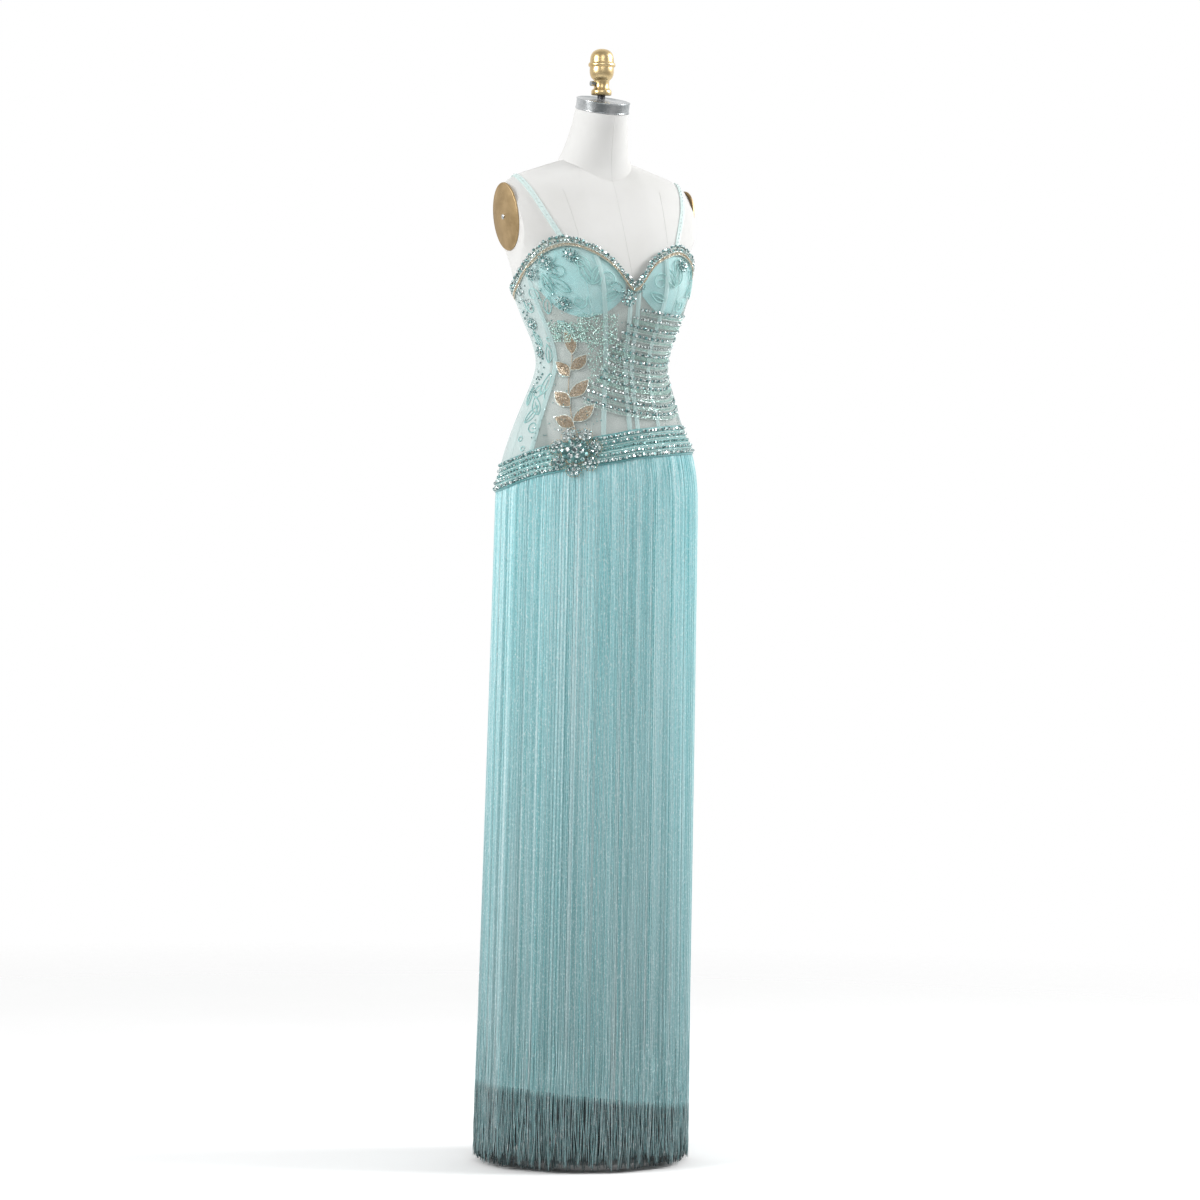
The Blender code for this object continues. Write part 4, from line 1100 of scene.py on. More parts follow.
class Beads:
    """Many small beads and stones gathered into one joined mesh."""

    def __init__(self, name, replaced=()):
        self.name, self.replaced = name, list(replaced)
        self.batches = []

    def put(self, look, angle, height, offset, size, lean=0.0):
        """Beads at places on the cloth. Size is the radius; lean tips each one from the surface at random."""
        angle, height, offset, size = np.broadcast_arrays(
            *(np.atleast_1d(np.asarray(value, float)) for value in (angle, height, offset, size))
        )
        if angle.size == 0:
            return
        across, upward, outward = figure_axes(angle, height)
        place = cloth(angle, height, offset)
        tip = rng.normal(0, lean + 0.10, (2, angle.size, 1))
        outward = unit(outward + tip[0] * across + tip[1] * upward)
        across = unit(across - outward * (across * outward).sum(-1, keepdims=True))
        self.batches.append((look, place, across, np.cross(outward, across), outward, size))

    def build(self):
        looks = sorted({batch[0] for batch in self.batches})
        parts, face_looks = [], []
        for look, place, across, upward, outward, size in self.batches:
            shape, shape_faces = SHAPES["seed" if "seeds" in look else "stone"]
            spin = rng.uniform(0, 2 * math.pi, len(place))[:, None]
            first = np.cos(spin) * across + np.sin(spin) * upward
            second = np.cross(outward, first)
            local = (
                shape[None, :, 0, None] * first[:, None]
                + shape[None, :, 1, None] * second[:, None]
                + shape[None, :, 2, None] * outward[:, None]
            )
            parts += [(verts, shape_faces) for verts in place[:, None] + local * size[:, None, None]]
            face_looks += [looks.index(look)] * (len(place) * len(shape_faces))
        add_mesh(self.name, *joined(parts), looks, "beads", self.replaced, face_looks, flat=True)


def along(angle, height, spacing):
    """Places at even spacing along a line over the cloth."""
    angle, height = np.broadcast_arrays(np.asarray(angle, float), np.asarray(height, float))
    length = grid_lengths(cloth(angle, height, RAISED_OFFSET), 0)
    count = max(2, round(length[-1] / spacing) + 1)
    at = np.linspace(0, length[-1], count)
    return np.interp(at, length, angle), np.interp(at, length, height)


def put_row(beads, look, angle, height, offset, radius):
    """A row of beads of slightly uneven sizes. A mixed row has clear and teal stones by turns."""
    size = radius * rng.uniform(0.88, 1.1, angle.size)
    if look != "mixed":
        beads.put(look, angle, height, offset, size, 0.15)
        return
    turn = np.arange(angle.size) % 2 == 0
    beads.put("clear_stones", angle[turn], height[turn], offset, size[turn], 0.15)
    beads.put("teal_stones", angle[~turn], height[~turn], offset, size[~turn], 0.15)


def add_neckline_beads():
    beads = Beads("neckline_beads")
    dense = np.linspace(-179.6, 179.6, 1400)
    on_trim = TRIM_OFFSET + TRIM_THICK
    rows = (
        # look, distance below the neckline, spacing, radius, follows the scallops
        ("mixed", -0.0006, 0.0058, 0.0027, True),
        ("mixed", 0.0044, 0.0060, 0.0024, False),
        ("silver_seeds", 0.0074, 0.0025, 0.0012, False),
        ("gold_seeds", 0.0096, 0.0025, 0.0012, False),
        ("gold_seeds", 0.0119, 0.0025, 0.0011, False),
    )
    for look, below, spacing, radius, scalloped in rows:
        height = neckline(dense) - below + (scallop(dense) - 0.0018 if scalloped else 0)
        angle, height = along(dense, height, spacing)
        put_row(beads, look, angle, height, on_trim + radius * 0.3, radius)
    beads.build()


def add_belt_beads():
    beads = Beads("belt_beads")
    dense = np.linspace(-179.7, 179.7, 1400)
    rows = (
        # look, share of the belt's height, spacing, radius
        ("mixed", 0.085, 0.0060, 0.0031),
        ("silver_seeds", 0.180, 0.0026, 0.0011),
        ("mixed", 0.285, 0.0064, 0.0026),
        ("silver_seeds", 0.385, 0.0026, 0.0011),
        ("teal_stones", 0.495, 0.0072, 0.0026),
        ("silver_seeds", 0.600, 0.0026, 0.0011),
        ("mixed", 0.705, 0.0064, 0.0026),
        ("silver_seeds", 0.805, 0.0026, 0.0011),
        ("mixed", 0.915, 0.0060, 0.0030),
    )
    for look, share, spacing, radius in rows:
        foot = float(belt_offset(share)) + BELT_THICK + radius * 0.3
        angle, height = along(dense, belt_bottom(dense) + share * BELT_HEIGHT, spacing)
        height = height + rng.normal(0, 0.00015, angle.size)
        clear = np.hypot((angle - BROOCH_ANGLE) * 0.0027, height - BROOCH_HEIGHT) > BROOCH_RADIUS * 0.86
        angle, height = angle[clear], height[clear]
        put_row(beads, look, angle, height, foot, radius)
    beads.build()


def cluster(beads, angle, height, offset, radius, rise, rings):
    """A domed cluster of stones: rings of (look, count, share of the radius, bead radius share)."""
    for look, count, reach, size in rings:
        turn = 2 * math.pi * (np.arange(count) + rng.random()) / count
        right, up = np.cos(turn) * radius * reach, np.sin(turn) * radius * reach
        place = near(angle, height, right, up)
        lift = offset + rise * (1 - reach**2)
        beads.put(look, *place, lift, radius * size * rng.uniform(0.92, 1.06, count), 0.12 + 0.3 * reach)


def add_rosettes():
    rings = (
        ("clear_stones", 1, 0.0, 0.30),
        ("teal_stones", 6, 0.50, 0.24),
        ("silver_seeds", 14, 0.74, 0.10),
        ("teal_stones", 10, 0.90, 0.17),
    )
    for name, angle, height, radius, offset in ROSETTES:
        beads = Beads(f"flower_{name}", [f"rosette_{name}"])
        cluster(beads, angle, height, offset + 0.0004, radius, 0.0026, rings)
        beads.build()


def add_brooch():
    beads = Beads("brooch_stones", ["brooch"])
    foot = BELT_LOWER_OFFSET + BELT_THICK + 0.0012
    petal = (
        ("clear_stones", 1, 0.0, 0.36),
        ("clear_stones", 6, 0.62, 0.29),
        ("teal_stones", 6, 0.90, 0.16),
        ("gold_seeds", 20, 1.02, 0.10),
    )
    middle = (
        ("clear_stones", 1, 0.0, 0.30),
        ("clear_stones", 6, 0.50, 0.25),
        ("teal_stones", 11, 0.90, 0.20),
    )
    petals = 7
    for count in range(petals):
        turn = 2 * math.pi * (count + 0.25) / petals
        reach = BROOCH_RADIUS * 0.74
        place = near(BROOCH_ANGLE, BROOCH_HEIGHT, math.cos(turn) * reach, math.sin(turn) * reach)
        cluster(beads, *(float(part) for part in place), foot, BROOCH_RADIUS * 0.29, 0.0030, petal)
    cluster(beads, BROOCH_ANGLE, BROOCH_HEIGHT, foot + 0.0032, BROOCH_RADIUS * 0.50, 0.0050, middle)
    rim = 2 * math.pi * np.arange(46) / 46
    reach = BROOCH_RADIUS * 0.53
    place = near(BROOCH_ANGLE, BROOCH_HEIGHT, np.cos(rim) * reach, np.sin(rim) * reach)
    beads.put("gold_seeds", *place, foot + 0.0022, 0.0013)
    beads.build()


# How far a leaf's middle line bends aside, in shares of its length
LEAF_BEND = 0.15


def leaf_outline(length, width):
    """A pointed oval from its foot at (0, 0): distances right and up."""
    t = np.linspace(0, 1, 15)
    half = width / 2 * np.sin(math.pi * t**0.85)
    middle = LEAF_BEND * length * t * (1 - t)
    side = np.concatenate([middle + half, (middle - half)[::-1][1:]])
    return side, np.concatenate([t, t[::-1][1:]]) * length


def rotated(right, up, degrees):
    """Distances right and up, turned towards the right."""
    cosine, sine = math.cos(math.radians(degrees)), math.sin(math.radians(degrees))
    return right * cosine + up * sine, up * cosine - right * sine


def inside(right, up, outline):
    """Which points lie within a closed outline."""
    x, y = outline
    x2, y2 = np.roll(x, -1), np.roll(y, -1)
    crosses = (y[:, None] > up) != (y2[:, None] > up)
    with np.errstate(divide="ignore", invalid="ignore"):
        at = x[:, None] + (up - y[:, None]) * (x2 - x)[:, None] / (y2 - y)[:, None]
    return (crosses & (right < at)).sum(0) % 2 == 1


# Leaf spray over the brooch: place along the stem, angle and height
SPRAY_STEM = ((0.000, -40.0, 1.204), (0.30, -45.0, 1.232), (0.65, -52.0, 1.285), (1.00, -50.0, 1.334))
# Its leaves: place along the stem, length, width, turn in degrees from upright
SPRAY_LEAVES = (
    (0.04, 0.040, 0.0210, -68),
    (0.14, 0.044, 0.0220, 46),
    (0.36, 0.042, 0.0220, -54),
    (0.46, 0.042, 0.0215, 40),
    (0.68, 0.038, 0.0195, -46),
    (0.76, 0.038, 0.0190, 42),
    (0.95, 0.042, 0.0180, -4),
)


def add_leaf_spray():
    """A curved stem with pointed leaves, each filled with gold seeds and edged with silver ones."""
    beads = Beads("leaf_spray")
    share = np.linspace(0, 1, 60)
    stem = smooth(SPRAY_STEM, share)
    beads.put("gold_seeds", *along(stem[:, 0], stem[:, 1], 0.0021), RAISED_OFFSET, 0.0011)
    for at, length, width, turned in SPRAY_LEAVES:
        angle, height = smooth(SPRAY_STEM, np.array(at))
        outline = rotated(*leaf_outline(length, width), turned)
        pitch = 0.0018
        reach = np.arange(-length, length, pitch)
        right, up = (part.ravel() for part in np.meshgrid(reach, reach))
        right = right + rng.normal(0, 0.0002, right.size)
        up = up + rng.normal(0, 0.0002, up.size)
        kept = inside(right, up, outline)
        beads.put("gold_seeds", *near(angle, height, right[kept], up[kept]), RAISED_OFFSET, 0.00098)
        edge = along(*near(angle, height, *outline), 0.0021)
        beads.put("silver_seeds", *edge, RAISED_OFFSET + 0.0003, 0.00098)
    beads.build()


def swag(first, last, sag):
    """A line that hangs between two places: each an angle and a height."""
    t = np.linspace(0, 1, 60)
    angle = mix(first[0], last[0], t)
    return angle, mix(first[1], last[1], t) - sag * 4 * t * (1 - t)


def add_swags():
    """Nested hanging rows of stones over the wearer's left side, with rows of seeds between them."""
    beads = Beads("side_swags")
    count = 13
    for row in range(count):
        share = row / (count - 1)
        first = (mix(6, -36, share**0.8), mix(1.402, 1.254, share))
        last = (88, mix(1.404, 1.262, share))
        line = swag(first, last, mix(0.008, 0.028, share))
        look, radius = (("mixed", 0.0030), ("clear_stones", 0.0026), ("mixed", 0.0028))[row % 3]
        put_row(beads, look, *along(*line, 0.0066), RAISED_OFFSET, radius)
        for drop in (0.0037, 0.0058, 0.0080):
            look = "mint_seeds" if drop == 0.0058 or row % 4 == 1 else "silver_seeds"
            beads.put(look, *along(line[0], line[1] - drop, 0.0026), RAISED_OFFSET - 0.0002, 0.00105)
    beads.build()


def add_scatter():
    """Loose stones: down the wearer's right edge, among the side lace and between the bones."""
    beads = Beads("scattered_stones")
    areas = (
        # count, angles, heights, radius, look
        (50, (-97, -84), (1.26, 1.440), 0.0019, "teal_stones"),
        (26, (-92, -76), (1.40, 1.445), 0.0020, "clear_stones"),
        (30, (-62, -46), (1.440, 1.490), 0.0016, "teal_stones"),
        (22, (-74, -50), (1.17, 1.30), 0.0013, "teal_stones"),
        (16, (-66, -48), (1.36, 1.44), 0.0016, "teal_stones"),
        (26, (-10, 84), (1.222, 1.30), 0.0016, "clear_stones"),
        (70, (-20, 86), (1.225, 1.40), 0.0012, "teal_stones"),
        (18, (-56, -22), (1.20, 1.235), 0.0013, "teal_stones"),
        (360, (-66, -36), (1.348, 1.380), 0.0013, "mint_seeds"),
        (300, (-40, -12), (1.345, 1.394), 0.0013, "mint_seeds"),
        (320, (-36, 0), (1.270, 1.352), 0.0013, "mint_seeds"),
    )
    for count, angles, heights, radius, look in areas:
        angle = rng.uniform(*angles, count)
        height = rng.uniform(*heights, count)
        clear = height > belt_bottom(angle) + BELT_HEIGHT + 0.004
        beads.put(look, angle[clear], height[clear], RAISED_OFFSET, radius, 0.2)
    for side in (-1, 1):
        turn = np.linspace(0.15, 2 * math.pi - 0.3, 40)
        right = side * (0.021 + 0.0105 * np.cos(turn))
        up = 0.012 + 0.0068 * np.sin(turn) + 0.004 * np.cos(turn)
        loop = near(-5, 1.424, right, up)
        beads.put("teal_stones", *along(*loop, 0.0036), RAISED_OFFSET + 0.0008, 0.0016, 0.2)
    beads.build()


SCROLL_TURNS = 1.35


def scroll_line(size):
    """A spiral that opens into a long tail: distances right and up."""
    t = np.linspace(0, 1, 34)
    radius = size * (0.16 + 0.60 * t)
    turn = 2 * math.pi * SCROLL_TURNS * (1 - t) + 0.6
    right, up = radius * np.cos(turn), radius * np.sin(turn)
    tail = np.linspace(0, 1, 12)[1:]
    right = np.concatenate([right, right[-1] + size * tail * 0.5])
    up = np.concatenate([up, up[-1] - size * tail * (1.2 - 0.5 * tail)])
    return right, up


# Corded lace: kind, angle from the centre front, height, size, turn in degrees, mirrored
CUP_LACE = (
    ("scroll", 17, 1.447, 0.0190, 10, 1),
    ("leaf", 27, 1.440, 0.0420, 20, 1),
    ("leaf", 27, 1.440, 0.0360, -30, -1),
    ("scroll", 31, 1.474, 0.0180, -30, -1),
    ("leaf", 40, 1.428, 0.0420, 52, 1),
    ("scroll", 45, 1.462, 0.0190, 100, -1),
    ("leaf", 22, 1.418, 0.0330, -68, -1),
    ("leaf", 52, 1.424, 0.0360, 18, 1),
    ("scroll", 36, 1.412, 0.0150, 200, 1),
)
SIDE_LACE = (
    ("scroll", -82, 1.262, 0.0190, 20, 1),
    ("leaf", -78, 1.258, 0.0400, 10, 1),
    ("leaf", -72, 1.226, 0.0400, -36, -1),
    ("leaf", -86, 1.212, 0.0360, 30, 1),
    ("scroll", -74, 1.206, 0.0150, 150, -1),
    ("ring", -84, 1.186, 0.0044, 0, 1),
    ("ring", -78, 1.170, 0.0038, 0, 1),
    ("leaf", -92, 1.240, 0.0330, -12, -1),
    ("scroll", -70, 1.424, 0.0150, 30, 1),
    ("leaf", -62, 1.392, 0.0330, 20, -1),
    ("scroll", -80, 1.404, 0.0140, 210, 1),
    ("leaf", -56, 1.382, 0.0300, 130, 1),
    ("leaf", -78, 1.312, 0.0320, 4, 1),
    ("leaf", -84, 1.340, 0.0300, -20, -1),
    ("ring", -72, 1.352, 0.0036, 0, 1),
    ("leaf", 84, 1.256, 0.0360, -14, -1),
    ("scroll", 78, 1.238, 0.0150, -60, -1),
)


def lace_lines(kind, size):
    if kind == "scroll":
        return [scroll_line(size)]
    if kind == "ring":
        turn = np.linspace(0, 2 * math.pi, 24)
        return [(size * np.cos(turn), size * np.sin(turn))]
    vein = np.linspace(0.0, 0.70, 10)
    return [leaf_outline(size, size * 0.40), (LEAF_BEND * size * vein * (1 - vein), vein * size)]


def add_lace(name, motifs, sides):
    """Raised cord sewn on the net in scrolls, leaves and rings."""
    parts = []
    for kind, angle, height, size, turned, mirror in motifs:
        for side in sides:
            for right, up in lace_lines(kind, size):
                right, up = rotated(right * mirror, up, turned)
                line = near(angle * side, height, right * side, up)
                kept = line[1] < neckline(line[0]) - TRIM_DEPTH - LACE_GAP
                kept &= line[1] > belt_bottom(line[0]) + BELT_HEIGHT + LACE_GAP
                if kept.sum() < 4:
                    continue
                place = along(line[0][kept], line[1][kept], 0.0016)
                points = cloth(*place, ON_PANEL_OFFSET + 0.0001)
                radius = np.full(len(points), LACE_CORD)
                radius[[0, -1]] = LACE_CORD_END
                parts.append(cord_mesh(points, figure_axes(*place)[2], radius[None], 5))
    add_mesh(name, *joined(parts), "cord", "net")


def add_piping():
    """A cord along the belt's lower edge and a finer one along its top."""
    parts = []
    angle = span(-180, 180, 1.2)[:-1]
    outward = figure_axes(angle, belt_bottom(angle))[2]
    for share, radius in ((0.0, 0.0017), (1.0, 0.0011)):
        offset = float(belt_offset(share)) + BELT_THICK / 2
        points = cloth(angle, belt_bottom(angle) + share * BELT_HEIGHT, offset)
        parts.append(cord_mesh(points, outward, radius, 8, closed=True))
    add_mesh("belt_piping", *joined(parts), "piping", "satin")


def ring_bmesh(points, places):
    """A closed mesh through rings of points, with each one's place on the flat cloth."""
    bm = bmesh.new()
    layer = bm.loops.layers.uv.new("cloth")
    rows = [[bm.verts.new(point) for point in ring] for ring in points]
    where = {vert: place for row in zip(rows, places) for vert, place in zip(*row)}
    for low, high in zip(rows, rows[1:]):
        for i in range(len(low)):
            j = (i + 1) % len(low)
            bm.faces.new((low[i], low[j], high[j], high[i]))
    bm.faces.new(rows[0][::-1])
    bm.faces.new(rows[-1])
    for face in bm.faces:
        for loop in face.loops:
            loop[layer].uv = where[loop.vert]
    return bm


def torso_surface():
    """The covered torso as a smooth closed mesh with flat arm cuts."""
    heights = np.concatenate([span(FORM_UNDERSIDE, 1.60, 0.006), span(1.604, 1.6495, 0.0035)])
    angle, height = np.meshgrid(np.arange(-180, 180, 2.5), heights)
    fullness = bust_fullness(angle, height)
    points = ring_points(angle, height, smooth(FORM_LOWER + FIGURE, height))
    points = points + level(angle) * fullness[..., None]
    inset = FORM_INSET * (0.5 + fullness / BUST_FULLNESS) * (1 - ease(*INSET_ENDS, height))
    points = points - figure_axes(angle, height)[2] * inset[..., None]
    bm = ring_bmesh(points, np.stack([grid_lengths(points, 1), height], -1))
    for side in (-1, 1):
        cut = bmesh.ops.bisect_plane(
            bm,
            geom=bm.verts[:] + bm.edges[:] + bm.faces[:],
            plane_co=(side * ARM_CUT_X, 0, ARM_CUT_HEIGHT),
            plane_no=(side, 0, -ARM_CUT_LEAN),
            clear_outer=True,
        )
        rim = [item for item in cut["geom_cut"] if isinstance(item, bmesh.types.BMEdge)]
        bmesh.ops.contextual_create(bm, geom=rim)
    bmesh.ops.recalc_face_normals(bm, faces=bm.faces)
    return bm


def neck_surface():
    """The neck as a smooth closed mesh of tilted rings."""
    angle, height = np.meshgrid(np.arange(-180, 180, 3.0), span(NECK[0][0], NECK[-1][0], 0.005))
    centre_y, half_width, half_depth, tilt = np.moveaxis(smooth(NECK, height), -1, 0)
    turn = np.radians(angle)
    x, y = np.sin(turn) * half_width, -np.cos(turn) * half_depth
    points = np.stack([x, centre_y + y, height + y * np.tan(np.radians(tilt))], -1)
    round_neck = np.arctan2(points[..., 0], -points[..., 1]) * 0.05
    bm = ring_bmesh(points, np.stack([round_neck, points[..., 2]], -1))
    bmesh.ops.recalc_face_normals(bm, faces=bm.faces)
    return bm


def add_form():
    """The covered form: torso and neck joined. Returns its surface and the torso's, for laying things on."""
    torso, neck = torso_surface(), neck_surface()
    on_torso = BVHTree.FromBMesh(torso)
    meshes = []
    for name, bm in (("form_torso", torso), ("form_neck", neck)):
        mesh = bpy.data.meshes.new(name)
        bm.to_mesh(mesh)
        bm.free()
        meshes.append(bpy.data.objects.new(name, mesh))
        bpy.context.scene.collection.objects.link(meshes[-1])
    union = meshes[0].modifiers.new("neck", "BOOLEAN")
    union.operation = "UNION"
    union.object = meshes[1]
    bpy.context.view_layer.update()
    whole = meshes[0].evaluated_get(bpy.context.evaluated_depsgraph_get())
    mesh = bpy.data.meshes.new_from_object(whole)
    for obj in meshes:
        bpy.data.objects.remove(obj)
    mesh.materials.clear()
    mesh.materials.append(LOOKS["linen"])
    mesh.shade_smooth()
    mesh.set_sharp_from_angle(angle=math.radians(32))
    cover = bpy.data.objects.new("form_cover", mesh)
    bpy.context.scene.collection.objects.link(cover)
    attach(cover, "root")
    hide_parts("dress_form")
    surface = bmesh.new()
    surface.from_mesh(mesh)
    on_form = BVHTree.FromBMesh(surface)
    surface.free()
    return on_form, on_torso


def laid_line(surface, starts, way):
    """Points where rays meet a surface, and the surface's normals there."""
    points, normals = [], []
    for start in starts:
        hit, normal, _, _ = surface.ray_cast(Vector(start), Vector(way))
        if hit is None:
            continue
        points.append(hit)
        normals.append(-normal if normal.dot(Vector(way)) > 0 else normal)
    return np.array(points), np.array(normals)


def add_form_seams(on_form):
    """Seams of the form's cover: thin raised lines at front, back, sides, princess lines and shoulders."""
    lines = []
    for angle, top in FORM_SEAM_TOPS:
        reach = level(angle)
        heights = span(FORM_SEAM_FOOT, top, FORM_SEAM_STEP)
        lines.append(([reach * 0.5 + np.array([0, 0, at]) for at in heights], -reach))
    heights = span(FORM_SEAM_FOOT, FORM_PRINCESS_HEIGHTS[-1], FORM_SEAM_STEP)
    for side in (-1, 1):
        across = side * np.interp(heights, FORM_PRINCESS_HEIGHTS, FORM_PRINCESS_X)
        for front in (-1, 1):
            lines.append(([(x, front * 0.5, at) for x, at in zip(across, heights)], (0, -front, 0)))
        shoulder = np.linspace(0.070, 0.150, 20) * side
        lines.append(([(x, 0.016, 1.9) for x in shoulder], (0, 0, -1)))
    parts = [cord_mesh(*laid_line(on_form, *line), FORM_SEAM, 5) for line in lines]
    add_mesh("form_seams", *joined(parts), "linen", "linen")


def lathe(profile, steps):
    """A turned piece from its profile. Returns vertices and faces, poles closed."""
    turn = 2 * math.pi * np.arange(steps) / steps
    verts, rings = [], []
    for radius, height in profile:
        if radius == 0:
            rings.append([len(verts)])
            verts.append((0, 0, height))
        else:
            rings.append(list(range(len(verts), len(verts) + steps)))
            verts += np.stack([radius * np.cos(turn), radius * np.sin(turn), 0 * turn + height], -1).tolist()
    faces = []
    for low, high in zip(rings, rings[1:]):
        for i in range(steps):
            j = (i + 1) % steps
            if len(low) == 1:
                faces.append((low[0], high[i], high[j]))
            elif len(high) == 1:
                faces.append((low[i], high[0], low[j]))
            else:
                faces.append((low[i], high[i], high[j], low[j]))
    return np.array(verts), faces


def on_arm_cut(side, profile, half_depth, half_height, lift):
    """A turned profile laid on the flat cut at an arm, stretched to these half sizes."""
    outward = np.array(Vector((side, 0, -ARM_CUT_LEAN)).normalized())
    upward = np.array(Vector((side * ARM_CUT_LEAN, 0, 1)).normalized())
    centre = np.array([side * ARM_CUT_X, ARM_PLATE_Y, ARM_CUT_HEIGHT]) + outward * REST_GAP
    verts, faces = lathe(profile, 72)
    x, y, z = verts.T[..., None]
    in_plane = centre + x * half_depth * np.array([0, 1.0, 0]) + y * half_height * upward
    return in_plane + (z + lift) * outward, faces


def add_turned(name, verts, faces, look, replaced=()):
    """A metal piece of the stand, its faces turned outwards."""
    mesh = add_mesh(name, verts, faces, look, look, replaced).data
    bm = bmesh.new()
    bm.from_mesh(mesh)
    bmesh.ops.recalc_face_normals(bm, faces=bm.faces)
    bm.to_mesh(mesh)
    bm.free()


def add_stand_parts():
    """Neck cap, finial and arm plates, finer than the part's own, and looks for the rest of the stand."""
    lean = Matrix.Rotation(math.radians(NECK_TILT), 4, "X")
    verts, faces = lathe(CAP_PROFILE, 96)
    foot = np.array([0, NECK[-1][1], NECK[-1][0]])
    tilted = np.array([lean @ Vector(vert + np.array([0, 0, REST_GAP])) for vert in verts]) + foot
    add_turned("steel_cap", tilted, faces, "steel", ["neck_cap"])
    add_turned("brass_finial", *lathe(FINIAL_PROFILE, 72), "brass", ["finial"])
    for side, name in ((-1, "right"), (1, "left")):
        plate = on_arm_cut(side, PLATE_PROFILE, ARM_PLATE_HALF_DEPTH, ARM_PLATE_HALF_HEIGHT, 0.0)
        add_turned(f"bronze_plate_{name}", *plate, "tan", [f"arm_plate_{name}"])
        screw = on_arm_cut(side, SCREW_PROFILE, SCREW_RADIUS, SCREW_RADIUS, SCREW_FOOT)
        add_turned(f"plate_screw_{name}", *screw, "steel")
    kept = {"pole_lower": "steel", "pole_upper": "iron", "base": "enamel", "thumb_screw": "steel"}
    for node, look in kept.items():
        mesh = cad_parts[node].data
        mesh.materials.clear()
        mesh.materials.append(LOOKS[look])


def taut(samples):
    """The points that a tight strap touches: those that stand proud of a line between their neighbours."""
    kept = list(samples)
    dropped = True
    while dropped:
        dropped = False
        for i in range(1, len(kept) - 1):
            before, here, after = kept[i - 1][0], kept[i][0], kept[i + 1][0]
            chord = (after - before).normalized()
            lift = (here - before) - chord * (here - before).dot(chord)
            if lift.dot(kept[i][1]) < STRAP_FLAT:
                del kept[i]
                dropped = True
                break
    return kept


def strap_end(angle):
    """Where a strap meets the gown's upper edge, and how far round the strap's axis that is."""
    end = Vector(cloth(angle, float(neckline(angle)) + STRAP_FOOT_RISE, PANEL_OFFSET))
    turn = math.degrees(math.atan2(end.z - STRAP_AXIS_HEIGHT, STRAP_AXIS_Y - end.y))
    return end, turn if turn > -90 else turn + 360


def rows_at(at, keys, rows):
    """The rows that belong to these keys, at places between them."""
    return np.stack([np.interp(at, keys, column) for column in rows.T], -1)


def add_straps(surface):
    """Sheer straps from the cups' top edge over the shoulders, with a row of small stones along each."""
    for side, front_angle, shoulder_x, back_angle in STRAPS:
        (front, start_turn), (back, end_turn) = strap_end(front_angle), strap_end(back_angle)
        samples = []
        for step in range(STRAP_SAMPLES + 1):
            turn = mix(start_turn, end_turn, step / STRAP_SAMPLES)
            if turn < 90:
                share = (turn - start_turn) / (90 - start_turn)
                x = mix(front.x, shoulder_x, share**STRAP_BEND)
            else:
                x = mix(shoulder_x, back.x, (turn - 90) / (end_turn - 90))
            way = Vector((0, -math.cos(math.radians(turn)), math.sin(math.radians(turn))))
            hit, normal, _, _ = surface.ray_cast(Vector((x, STRAP_AXIS_Y, STRAP_AXIS_HEIGHT)), way)
            normal = normal if normal.dot(way) > 0 else -normal
            from_end = min(step, STRAP_SAMPLES - step) / STRAP_SAMPLES
            offset = mix(STRAP_END_OFFSET, STRAP_OFFSET, min(1.0, from_end / STRAP_SETTLE_SHARE))
            samples.append((hit + normal * offset, normal))
        middles = taut(samples)
        path = np.array([point for point, _ in middles])
        normals = np.array([normal for _, normal in middles])
        length = grid_lengths(path, 0)
        at = np.linspace(0, length[-1], 90)
        points, outward = rows_at(at, length, path), unit(rows_at(at, length, normals))
        way = unit(np.gradient(points, axis=0))
        beside = unit(np.cross(way, outward))
        across = np.linspace(-0.5, 0.5, 7)
        grid = points[:, None] + beside[:, None] * (across * STRAP_WIDTH)[None, :, None]
        outer = grid + outward[:, None] * STRAP_THICK
        name, node = f"sheer_strap_{side}", f"strap_{side}"
        add_shell(name, grid, outer, "strap", "net", [node])
        stones = Beads(f"strap_stones_{side}")
        first, last = STRAP_STONE_ENDS
        spots = np.arange(first, length[-1] - last, STRAP_STONE_SPACING)
        out, right = unit(rows_at(spots, at, outward)), unit(rows_at(spots, at, beside))
        place = rows_at(spots, at, points) + out * (STRAP_THICK + 0.0004)
        size = np.full(len(spots), STRAP_STONE)
        stones.batches.append(("clear_stones", place, right, np.cross(out, right), out, size))
        stones.build()


def add_closing():
    """Stitches beside the bodice seams, closer on both sides of the hidden zip at the centre back."""
    parts = []
    lift = ON_PANEL_OFFSET - 0.0004 + np.array([0, STITCH_RISE, 0])
    for seam in (-SIDE_SEAM, -PRINCESS_SEAM, PRINCESS_SEAM, SIDE_SEAM, 180):
        pitch, aside = (0.0030, 0.0048) if seam == 180 else (0.0036, 0.0022)
        low = float(belt_bottom(seam)) + BELT_HEIGHT + STITCH_GAP
        high = float(neckline(seam)) - TRIM_DEPTH - STITCH_GAP
        for side in (-1, 1):
            for foot in np.arange(low, high - pitch, pitch):
                place = near(seam, foot + pitch * np.array([0, 0.32, 0.64]), side * aside, 0)
                across, _, outward = figure_axes(*place)
                points = cloth(*place, lift)
                parts.append(tube_mesh(points[None], across[None], outward[None], STITCH, 4))
    add_mesh("seam_stitches", *joined(parts), "bone", "net")


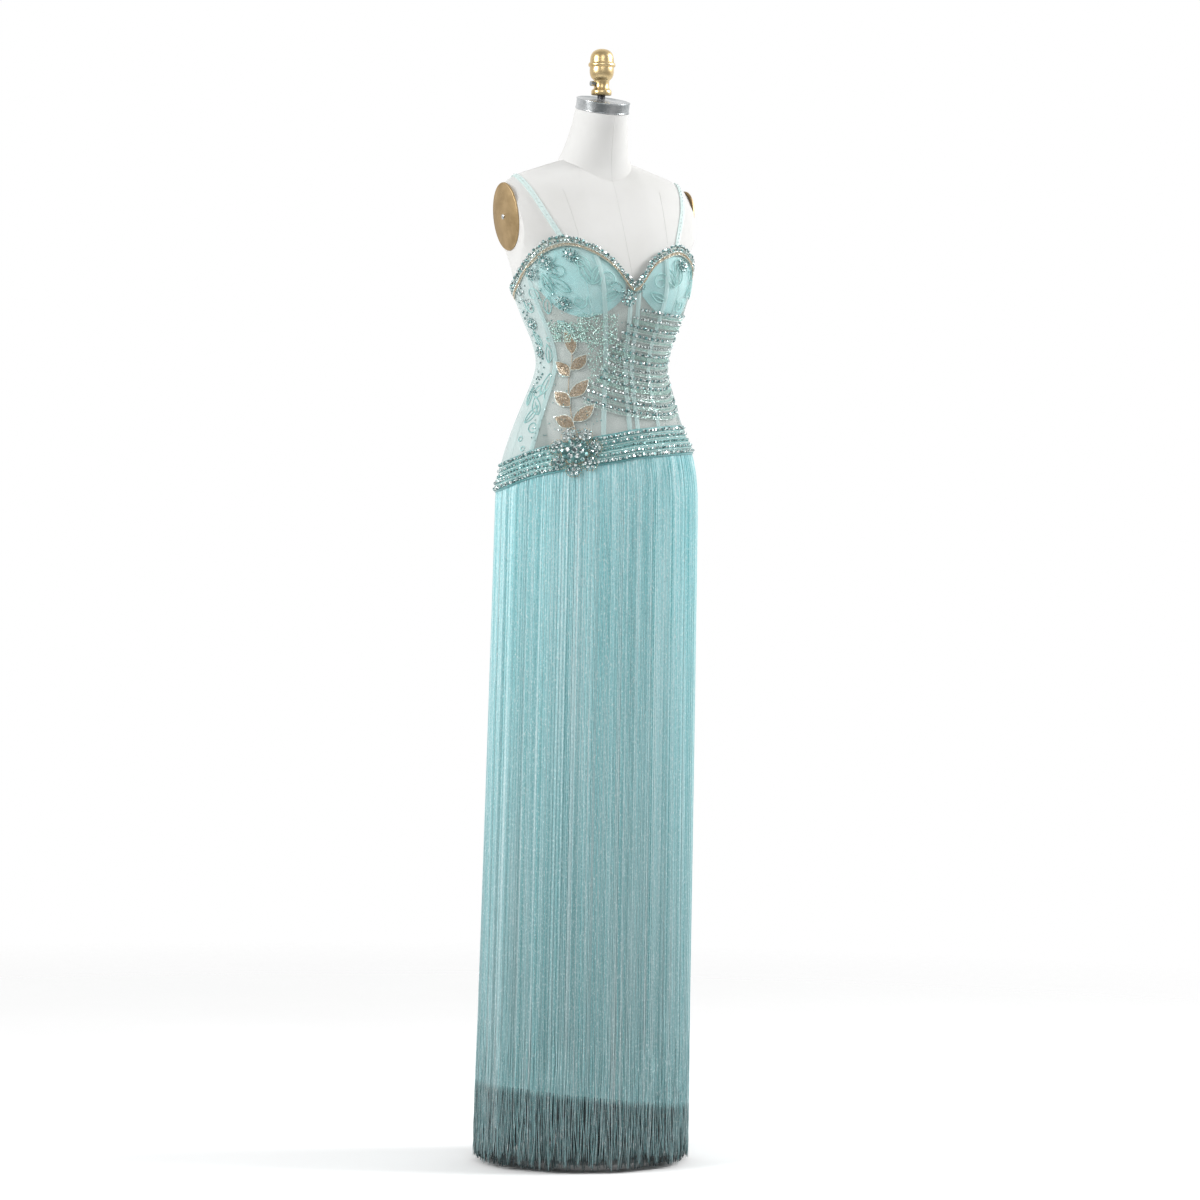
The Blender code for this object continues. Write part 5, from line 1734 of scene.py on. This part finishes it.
def add_studio():
    bpy.ops.mesh.primitive_circle_add(vertices=128, radius=80, fill_type="NGON")
    floor = bpy.context.object
    floor.name = "floor"
    floor.data.materials.append(make_floor())
    world = bpy.data.worlds.new("studio")
    world.use_nodes = True
    nodes, links = world.node_tree.nodes, world.node_tree.links
    way = nodes.new("ShaderNodeTexCoord")
    facing = nodes.new("ShaderNodeVectorMath")
    facing.operation = "DOT_PRODUCT"
    facing.inputs[1].default_value = (0.5, 0.866, 0.0)
    spread = nodes.new("ShaderNodeMapRange")
    spread.interpolation_type = "SMOOTHSTEP"
    for socket, value in (("From Min", -0.4), ("From Max", 0.85), ("To Min", 0.36), ("To Max", 1.0)):
        spread.inputs[socket].default_value = value
    links.new(way.outputs["Generated"], facing.inputs[0])
    links.new(facing.outputs["Value"], spread.inputs["Value"])
    links.new(spread.outputs["Result"], nodes["Background"].inputs["Strength"])
    nodes["Background"].inputs["Color"].default_value = (1.0, 1.0, 1.0, 1)
    bpy.context.scene.world = world
    lights = (
        # name, place, size, watts
        ("key", (-3.5, -0.1, 2.7), 1.6, 112),
        ("side", (3.0, -1.4, 3.1), 1.4, 135),
        ("front", (-1.4, -3.2, 3.2), 1.6, 26),
    )
    for name, place, size, watts in lights:
        data = bpy.data.lights.new(name, "AREA")
        data.size = size
        data.energy = watts
        lamp = bpy.data.objects.new(name, data)
        lamp.location = place
        lamp.rotation_euler = (Vector((0, 0, 1.1)) - lamp.location).to_track_quat("-Z", "Y").to_euler()
        bpy.context.scene.collection.objects.link(lamp)


def add_camera():
    """The photograph's view: from the wearer's right front, level, with a slight roll."""
    azimuth, roll, distance, height = math.radians(-30), math.radians(1.07), 8.0, 1.15
    data = bpy.data.cameras.new("camera")
    data.sensor_width = 36
    data.lens = 145.5
    data.shift_x, data.shift_y = 0.0046, -0.114
    camera = bpy.data.objects.new("camera", data)
    place = Matrix.Translation((math.sin(azimuth) * distance, -math.cos(azimuth) * distance, height))
    turned = Matrix.Rotation(azimuth, 4, "Z") @ Matrix.Rotation(math.pi / 2, 4, "X")
    camera.matrix_world = place @ turned @ Matrix.Rotation(roll, 4, "Z")
    bpy.context.scene.collection.objects.link(camera)
    bpy.context.scene.camera = camera
    bpy.context.scene.view_settings.view_transform = "Standard"


on_form, on_torso = add_form()
add_form_seams(on_form)
add_stand_parts()
add_bodice()
add_cups()
add_bones()
add_trim_bands()
add_belt()
add_piping()
add_underskirt()
add_fringe()
add_straps(on_torso)
add_lace("cup_lace", CUP_LACE, (-1, 1))
add_lace("side_lace", SIDE_LACE, (1,))
add_closing()
add_neckline_beads()
add_belt_beads()
add_rosettes()
add_brooch()
add_leaf_spray()
add_swags()
add_scatter()
add_studio()
add_camera()

bpy.context.view_layer.update()
